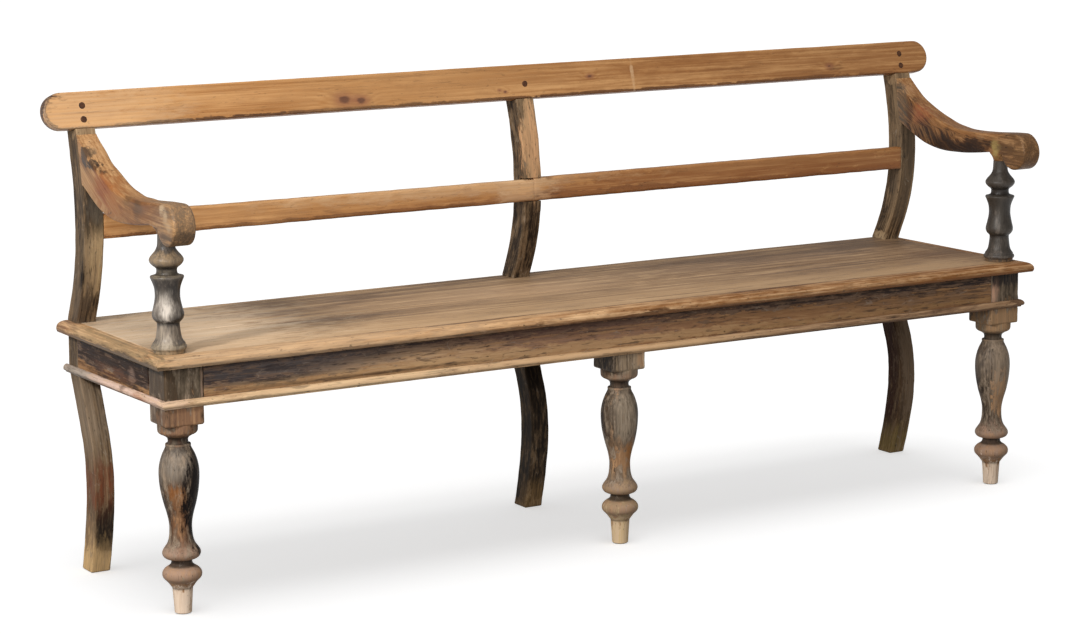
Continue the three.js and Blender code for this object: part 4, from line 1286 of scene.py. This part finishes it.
def strip(section, width, height, start, end, mitres, shape, seed, inner=None):
    """An edge strip: its section carried along a straight run from start to end. At a mitre
    the end stands back by the width less the point's own distance out. Its outer face is
    dented a little, and inner gives the least way out. Returns the way along, the way out,
    the way up and the relief of each point."""
    outline = crisp(section, 6)
    out, up = outline[:, 0] * width, outline[:, 1] * height
    share = stations(0, end - start, shape.step) / (end - start)
    first = start + mitres[0] * (width - out)
    last = end - mitres[1] * (width - out)
    along = first[None] + share[:, None] * (last - first)[None]
    point = np.stack([along, 3 * out + 0 * along, 3 * up + 0 * along], axis=-1)
    dent = ripple(point, 0.12, seed) + 0.6 * ripple(point, 0.03, seed + 1)
    proud = smooth(0.5, 1.0, outline[:, 0])
    out = out - proud * 0.7 * MM * (0.5 + 0.5 * np.clip(dent, -1, 1))
    if inner is not None:
        out = np.maximum(out, inner(along))
    centre = outline - outline.mean(0)
    away = np.linalg.norm(centre * [width, height], axis=1)
    bulge = np.clip(away / (0.5 * width) - 0.7, 0, 1)
    relief = np.broadcast_to(proud * (0.4 + 0.6 * bulge), out.shape)
    return along, out, up + 0 * along, relief


class BENCH_OT_mouldings(Operator):
    """Runs the moulding round the bottom edge of the aprons"""

    bl_idname = "bench.mouldings"
    bl_label = "Mouldings"

    def execute(self, context):
        shape = context.scene.bench_shape
        reach, bottom = END + MOULDING_WIDTH + GAP, APRON_BOTTOM - MOULDING_DROP
        front, back = FRONT - MOULDING_WIDTH, BACK + MOULDING_WIDTH
        # Each strip's node, side, start, end, mitres and sag at its far end
        runs = (
            ("front_moulding", 0, -reach, reach, (1, 1), 0),
            ("end_moulding_left", -1, front, back, (1, 0), MOULDING_SAG),
            ("end_moulding_right", 1, front, back, (1, 0), 0),
        )
        for k, (node, side, start, end, mitres, sag) in enumerate(runs):
            along, out, up, relief = strip(
                MOULDING_SECTION, MOULDING_WIDTH, MOULDING_HEIGHT, start, end, mitres, shape,
                SEED["moulding"] + 4 * k,
            )
            z = bottom + up - sag * (along - FRONT) / (BACK - FRONT)
            if side:
                rings = np.stack([side * (END + GAP + out), along, z], axis=-1)
            else:
                rings = np.stack([along, FRONT - GAP - out, z], axis=-1)
            way = "Y" if side else "X"
            solid(f"{node}_wood", [(rings, relief)], way, "worn_moulding_wood", node)
        return {"FINISHED"}


class BENCH_OT_seat(Operator):
    """Lays the two seat boards and the mitred nosing round them"""

    bl_idname = "bench.seat"
    bl_label = "Seat"

    def execute(self, context):
        shape = context.scene.bench_shape
        end = SEAT_END - NOSING - GAP
        front = SEAT_FRONT + NOSING
        joint = front + FRONT_BOARD
        level = (SEAT_UNDER, SEAT)
        slot = "scrubbed_seat_wood"
        run = stations(-end, end, shape.step)
        faces = (front + GAP, joint - GAP / 2)
        board = bar("X", run, faces, level, BOARD_ARRIS, shape, SEED["front_board"], wave=0.8)
        solid("seat_board_front_wood", [board], "X", slot, "seat_board_front")
        # The rear board is cut back round the posts
        middle, outer = POST_HALF + GAP, POST_X - POST_HALF - GAP
        slits = np.array((-outer, -middle, middle, outer))
        run = np.sort(np.concatenate([run, slits - SLIVER, slits + SLIVER]))
        cut = (abs(run) < middle) | (abs(run) > outer)
        faces = (joint + GAP / 2, np.where(cut, POST_FRONT - GAP, BACK))
        board = bar("X", run, faces, level, BOARD_ARRIS, shape, SEED["rear_board"], wave=0.8)
        solid("seat_board_rear_wood", [board], "X", slot, "seat_board_rear")

        slot = "worn_nosing_wood"
        reach, inside, thick = SEAT_END - GAP, SEAT_END - NOSING, SEAT - SEAT_UNDER
        along, out, up, relief = strip(
            NOSING_SECTION, NOSING, thick, -reach, reach, (1, 1), shape, SEED["front_nosing"]
        )
        rings = np.stack([along, front - out, SEAT_UNDER + up], axis=-1)
        solid("seat_nosing_front_wood", [(rings, relief)], "X", slot, "seat_nosing_front")
        for where, side in SIDES:
            along, out, up, relief = strip(
                NOSING_SECTION, NOSING, thick, SEAT_FRONT + GAP, BACK, (1, 0), shape,
                SEED["end_nosing"] + side,
                inner=lambda y: np.where(y > POST_FRONT - GAP, END + GAP - inside, -1),
            )
            rings = np.stack([side * (inside + out), along, SEAT_UNDER + up], axis=-1)
            node = f"seat_nosing_{where}"
            solid(f"{node}_wood", [(rings, relief)], "Y", slot, node)
        return {"FINISHED"}


class BENCH_OT_top_rail(Operator):
    """Shapes the leaning top rail with its round ends, and its pegs"""

    bl_idname = "bench.top_rail"
    bl_label = "Top rail and pegs"

    def execute(self, context):
        shape = context.scene.bench_shape
        straight = RAIL_END - RAIL_HALF
        run = stations(-straight, straight, shape.step)
        turn = np.linspace(0, np.pi / 2, 14)[1:]
        place = np.concatenate([np.full(len(turn), -straight), run, np.full(len(turn), straight)])
        angle = np.concatenate([-turn[::-1], np.zeros(len(run)), turn])
        seed = SEED["top_rail"]
        wear = 1.3 + 0.5 * wander(place, 0.12, seed) + 0.25 * wander(place, 0.03, seed + 1)
        wear = np.maximum(shape.arris * wear, 0.6 * MM)[:, None]
        uneven = sunken(shape, place, 0.5, seed + 2)[:, None]
        half, depth = RAIL_HALF - uneven, RAIL_THICK / 2
        # Rise of each section point as a distance up the plank, then swung round the end
        rise = SECTION[:, 0] * half + SECTION[:, 1] * wear
        back = depth + SECTION[:, 2] * depth + SECTION[:, 3] * wear
        swing = angle[:, None]
        x = place[:, None] + abs(rise) * np.sin(swing)
        rings = on_rail(x, rise * np.cos(swing), back)
        relief = np.exp(-SECTION[:, 4] * 2 * RAIL_HALF / (5 * MM)) * np.ones((len(place), 1))
        solid("top_rail_wood", [(rings, relief)], "X", "waxed_rail_wood", "top_rail")

        # Each peg's name, place along the rail and rise from the middle of its face
        low, high = -17.5 * MM, 7.5 * MM
        pegs = (
            ("left_lower", -POST_X, low), ("left_upper", -POST_X, high), ("middle", 0.0, -5 * MM),
            ("right_lower", POST_X, low), ("right_upper", POST_X, high),
        )
        depth, radius = (column[:, None] for column in np.array(PEG_PROFILE).T * MM)
        swing = np.linspace(0, 2 * np.pi, 28, endpoint=False)
        for k, (where, x, up) in enumerate(pegs):
            out = radius * (1 - 0.03 * (1 + wander(swing, 2.4, SEED["peg"] + k)))
            rings = on_rail(x + out * np.cos(swing), up + out * np.sin(swing), depth)
            relief = np.zeros(rings.shape[:2])
            node = f"top_rail_peg_{where}"
            solid(f"{node}_wood", [(rings, relief)], "Y", "peg_wood", node)
        return {"FINISHED"}


class BENCH_OT_middle_rails(Operator):
    """Saws the two middle rails of the back, the left one a little narrower"""

    bl_idname = "bench.middle_rails"
    bl_label = "Middle rails"

    def execute(self, context):
        shape = context.scene.bench_shape
        face = float(post_back(MIDDLE_RAIL.mean())) - POST_DEPTH
        reach = END - 2 * POST_HALF - GAP
        bottom, top = MIDDLE_RAIL
        for where, side in SIDES:
            run = stations(*sorted((side * GAP / 2, side * reach)), shape.step)
            narrow = 2.5 * MM * smooth(-0.9, -0.1, run) if side < 0 else 0 * run
            shell = bar(
                "X", run, (face, face + MIDDLE_THICK), (bottom, top - narrow), shape.arris * 2.4,
                shape, SEED["middle_rail"] + 20 * side, end_radius=0.8 * MM,
            )
            node = f"middle_rail_{where}"
            solid(f"{node}_wood", [shell], "X", "waxed_rail_wood", node)
        return {"FINISHED"}


def arm_outline():
    """An arm's outline in the plane of its side, anticlockwise seen from +X: along the
    underside, up the joint with the post, down the top and round the scroll. Returns its
    points and how far its edge is rounded at each, from 0 to 1."""
    reach = float(post_back(ARM_END)) - POST_DEPTH - SCROLL_Y

    def at(along, up, down=0.0):
        return SCROLL_Y + along * reach, ARM_HEIGHT + up * ARM_RISE - down * ARM_DEPTH

    joint = np.linspace(ARM_END - ARM_JOINT, ARM_END, 14)
    back = np.column_stack([post_back(joint) - POST_DEPTH - GAP, joint])
    top = curve([at(*row) for row in ARM_TOP] + [tuple(back[-1])], 9)
    under = curve([at(*row) for row in ARM_UNDER] + [tuple(back[0])], 9)
    angle = np.radians(np.linspace(90, 345, 60))
    scroll = np.column_stack([
        SCROLL_Y + SCROLL * np.cos(angle), ARM_HEIGHT - SCROLL + SCROLL * np.sin(angle),
    ])
    outline = np.vstack([under[:-1], back, top[::-1][1:-1], scroll])
    softness = np.concatenate([
        np.full(len(under) - 1, 0.5), np.zeros(len(back)),
        smooth(ARM_END, ARM_END - 60 * MM, top[::-1][1:-1, 1]),
        np.interp(np.degrees(angle), [90, 150, 220, 345], [1.0, 0.9, 0.55, 0.5]),
    ])
    return outline, softness


def evened(values):
    """Values round a closed outline, each the weighted mean of itself and two on each side."""
    weights = (1, 2, 3, 2, 1)
    total = sum(w * np.roll(values, s - 2, axis=0) for s, w in enumerate(weights))
    return total / sum(weights)


class BENCH_OT_arms(Operator):
    """Cuts the two scrolled arms, each with a turned boss under it"""

    bl_idname = "bench.arms"
    bl_label = "Arms"

    def execute(self, context):
        shape = context.scene.bench_shape
        outline, softness = arm_outline()
        tangent = np.roll(outline, -1, axis=0) - np.roll(outline, 1, axis=0)
        tangent /= np.linalg.norm(tangent, axis=1, keepdims=True)
        inward = evened(np.column_stack([-tangent[:, 1], tangent[:, 0]]))
        inward /= np.linalg.norm(inward, axis=1, keepdims=True)
        ease = evened(softness)
        turn = np.linspace(0, np.pi / 2, 7)[:, None]
        # The underside's height over the support, and the boss's foot under it
        under = ARM_HEIGHT + ARM_UNDER[0][1] * ARM_RISE - ARM_UNDER[0][2] * ARM_DEPTH
        base = under - BOSS_DROP
        for k, (where, side) in enumerate(SIDES):
            uneven = 1 + 0.3 * ripple(outline, 0.07, SEED["arm"] + k)
            radius = (ARM_ARRIS + ARM_ROUND * ease * uneven)[None]
            inset = radius * (1 - np.sin(turn))
            stand = radius * (1 - np.cos(turn))
            middle = np.linspace(0, 1, 9)[1:-1, None]
            low, high = sorted((side * END, side * (END - ARM_WIDTH)))
            first, last = low + stand, (high - stand)[::-1]
            across = first[-1:] + middle * (last[:1] - first[-1:])
            x = np.concatenate([first, across, last])
            inset = np.concatenate([inset, 0 * across, inset[::-1]])
            flat = outline[None] + inset[..., None] * inward[None]
            # Near the post the arm narrows to the post's width
            excess = (ARM_WIDTH - 2 * POST_HALF) * smooth(0.77, RAIL_UNDER - 8 * MM, flat[..., 1])
            share = abs(x - side * END) / ARM_WIDTH
            x = x + side * excess * share
            rings = np.concatenate([x[..., None], flat], axis=-1)
            bump = np.clip(ripple(rings, 0.09, SEED["arm"] + 10 + k), -1, 1)
            dent = shape.unevenness * (0.5 + 0.5 * bump) * np.minimum(1, ease * 2)
            rings[..., 1:] += dent[..., None] * inward[None]
            crest = np.sin(2 * turn) * np.ones_like(radius)
            relief = np.concatenate([crest, 0.0 * across + 0.25, crest[::-1]])
            relief = relief * np.minimum(1, ease * 1.6) * np.ones_like(x)
            centre = (side * SUPPORT_X, SUPPORT_Y)
            boss, boss_relief = turned(BOSS_PROFILE, centre, base, shape, SEED["boss"] + k)
            boss[..., 0] = np.clip(boss[..., 0], low + 0.4 * MM, high - 0.4 * MM)
            shells, node = [(rings, relief), (boss, boss_relief)], f"arm_{where}"
            solid(f"{node}_wood", shells, "arm", "polished_arm_wood", node)
        return {"FINISHED"}


class BENCH_OT_arm_supports(Operator):
    """Turns the two supports between the seat and the arms"""

    bl_idname = "bench.arm_supports"
    bl_label = "Arm supports"

    def execute(self, context):
        shape = context.scene.bench_shape
        for k, (where, side) in enumerate(SIDES):
            centre = (side * SUPPORT_X, SUPPORT_Y)
            shell = turned(SUPPORT_PROFILE, centre, SEAT + GAP, shape, SEED["support"] + k)
            node = f"arm_support_{where}"
            solid(f"{node}_wood", [shell], "Z", "grey_support_wood", node)
        return {"FINISHED"}


# The photo's camera, fitted to the bench's straight lines
CAMERA_PLACE = (-2.8279, LEG_Y - 4.4919, 1.3591)
YAW, PITCH, ROLL = (math.radians(a) for a in (-30.604, -9.892, -0.595))
LENS, SENSOR = 96.24, 36

# Each lamp's name, kind, place, strength, and its size in metres or its angle. Two soft boxes
# at the left light the bench alone, and a wide lamp overhead gives the floor its shadow.
LAMPS = (
    ("key_lamp", "AREA", (-3.3, -1.3, 2.2), 84, 0.35),
    ("front_lamp", "AREA", (-2.2, -3.2, 1.8), 62, 1.6),
    ("top_lamp", "SUN", (-0.4, -0.5, 3.0), 0.9, math.radians(35)),
)
FLOOR_HALF = 40.0
FLOOR_LEVEL = -0.4 * MM
FLOOR_GLOW = 0.57
PAPER_GREY, BOUNCE_GREY = (0.8, 0.8, 0.8), (0.35, 0.35, 0.35)
ROOM_LIGHT = 0.38


class BENCH_OT_studio(Operator):
    """Sets the pale floor, the soft lamps and the camera"""

    bl_idname = "bench.studio"
    bl_label = "Studio"

    def execute(self, context):
        scene = context.scene
        mesh = bpy.data.meshes.new("studio_floor")
        square = ((-1, -1), (1, -1), (1, 1), (-1, 1))
        points = [(x * FLOOR_HALF, y * FLOOR_HALF, FLOOR_LEVEL) for x, y in square]
        mesh.from_pydata(points, [], [(0, 1, 2, 3)])
        mesh.materials.append(paper_floor())
        floor = bpy.data.objects.new("studio_floor", mesh)
        scene.collection.objects.link(floor)

        world = bpy.data.worlds.new("soft_room")
        world.use_nodes = True
        room = world.node_tree.nodes["Background"].inputs
        room["Color"].default_value = (1, 1, 1, 1)
        room["Strength"].default_value = ROOM_LIGHT
        scene.world = world

        bench = bpy.data.collections.new("bench_pieces")
        for item in scene.collection.objects:
            if item.type == "MESH" and item is not floor:
                bench.objects.link(item)
        for name, kind, source, strength, spread in LAMPS:
            light = bpy.data.lights.new(name, kind)
            light.energy = strength
            lamp = bpy.data.objects.new(name, light)
            lamp.location = source
            aim = Vector(source)
            if kind == "AREA":
                light.size = spread
                aim -= Vector((0, 0, SEAT))
                lamp.light_linking.receiver_collection = bench
            else:
                light.angle = spread
            lamp.rotation_euler = aim.to_track_quat("Z", "Y").to_euler()
            scene.collection.objects.link(lamp)

        optics = bpy.data.cameras.new("photo_camera")
        optics.lens, optics.sensor_width = LENS, SENSOR
        camera = bpy.data.objects.new("photo_camera", optics)
        camera.matrix_world = photo_view()
        scene.collection.objects.link(camera)
        scene.camera = camera
        scene.view_settings.view_transform = "Standard"
        return {"FINISHED"}


def paper_floor():
    """Matt paper: white to the camera, where it glows a little, and a darker grey to light
    that bounces off it, so that it doesn't brighten the bench from below."""
    paper = bpy.data.materials.new("pale_paper_floor")
    paper.use_nodes = True
    tree = paper.node_tree
    tree.nodes.clear()
    rays = add(tree, {}, "ShaderNodeLightPath").node.outputs
    shown = weigh(
        tree, rays["Is Camera Ray"], (1.0, rays["Is Glossy Ray"]),
        (1.0, rays["Is Transmission Ray"]),
    )
    matt = add(tree, {"Color": PAPER_GREY}, "ShaderNodeBsdfDiffuse")
    glow = add(tree, {"Color": (1, 1, 1), "Strength": FLOOR_GLOW}, "ShaderNodeEmission")
    seen = add(tree, {0: matt, 1: glow}, "ShaderNodeAddShader")
    bounce = add(tree, {"Color": BOUNCE_GREY}, "ShaderNodeBsdfDiffuse")
    both = add(tree, {0: shown, 1: bounce, 2: seen}, "ShaderNodeMixShader")
    output = tree.nodes.new("ShaderNodeOutputMaterial")
    tree.links.new(both, output.inputs["Surface"])
    return paper


def photo_view():
    """The camera's matrix: its forward axis from yaw and pitch, rolled about itself."""
    forward = Vector((
        -math.sin(YAW) * math.cos(PITCH), math.cos(YAW) * math.cos(PITCH), math.sin(PITCH),
    ))
    level = forward.cross(Vector((0, 0, 1))).normalized()
    upright = level.cross(forward)
    right = math.cos(ROLL) * level + math.sin(ROLL) * upright
    above = -math.sin(ROLL) * level + math.cos(ROLL) * upright
    view = Matrix((right, above, -forward)).transposed().to_4x4()
    view.translation = Vector(CAMERA_PLACE)
    return view


STEPS = (
    BENCH_OT_front_legs, BENCH_OT_rear_posts, BENCH_OT_aprons, BENCH_OT_mouldings, BENCH_OT_seat,
    BENCH_OT_top_rail, BENCH_OT_middle_rails, BENCH_OT_arms, BENCH_OT_arm_supports,
    BENCH_OT_studio,
)


class BENCH_PT_sidebar(Panel):
    """Lists the bench's sizes, colours and steps"""

    bl_idname = "BENCH_PT_sidebar"
    bl_label = "Deacons Bench"
    bl_space_type = "VIEW_3D"
    bl_region_type = "UI"
    bl_category = "Bench"

    def draw(self, context):
        layout = self.layout
        for group in (context.scene.bench_shape, context.scene.bench_finish):
            for name in group.__annotations__:
                layout.prop(group, name)
        for step in STEPS:
            layout.operator(step.bl_idname)


CLASSES = (BenchShape, BenchFinish, *STEPS, BENCH_PT_sidebar)


def register():
    for item in CLASSES:
        bpy.utils.register_class(item)
    bpy.types.Scene.bench_shape = PointerProperty(type=BenchShape)
    bpy.types.Scene.bench_finish = PointerProperty(type=BenchFinish)


def unregister():
    del bpy.types.Scene.bench_finish
    del bpy.types.Scene.bench_shape
    for item in reversed(CLASSES):
        bpy.utils.unregister_class(item)


def main():
    register()
    bpy.ops.bench.front_legs()
    bpy.ops.bench.rear_posts()
    bpy.ops.bench.aprons()
    bpy.ops.bench.mouldings()
    bpy.ops.bench.seat()
    bpy.ops.bench.top_rail()
    bpy.ops.bench.middle_rails()
    bpy.ops.bench.arms()
    bpy.ops.bench.arm_supports()
    bpy.ops.bench.studio()


if __name__ == "__main__":
    main()
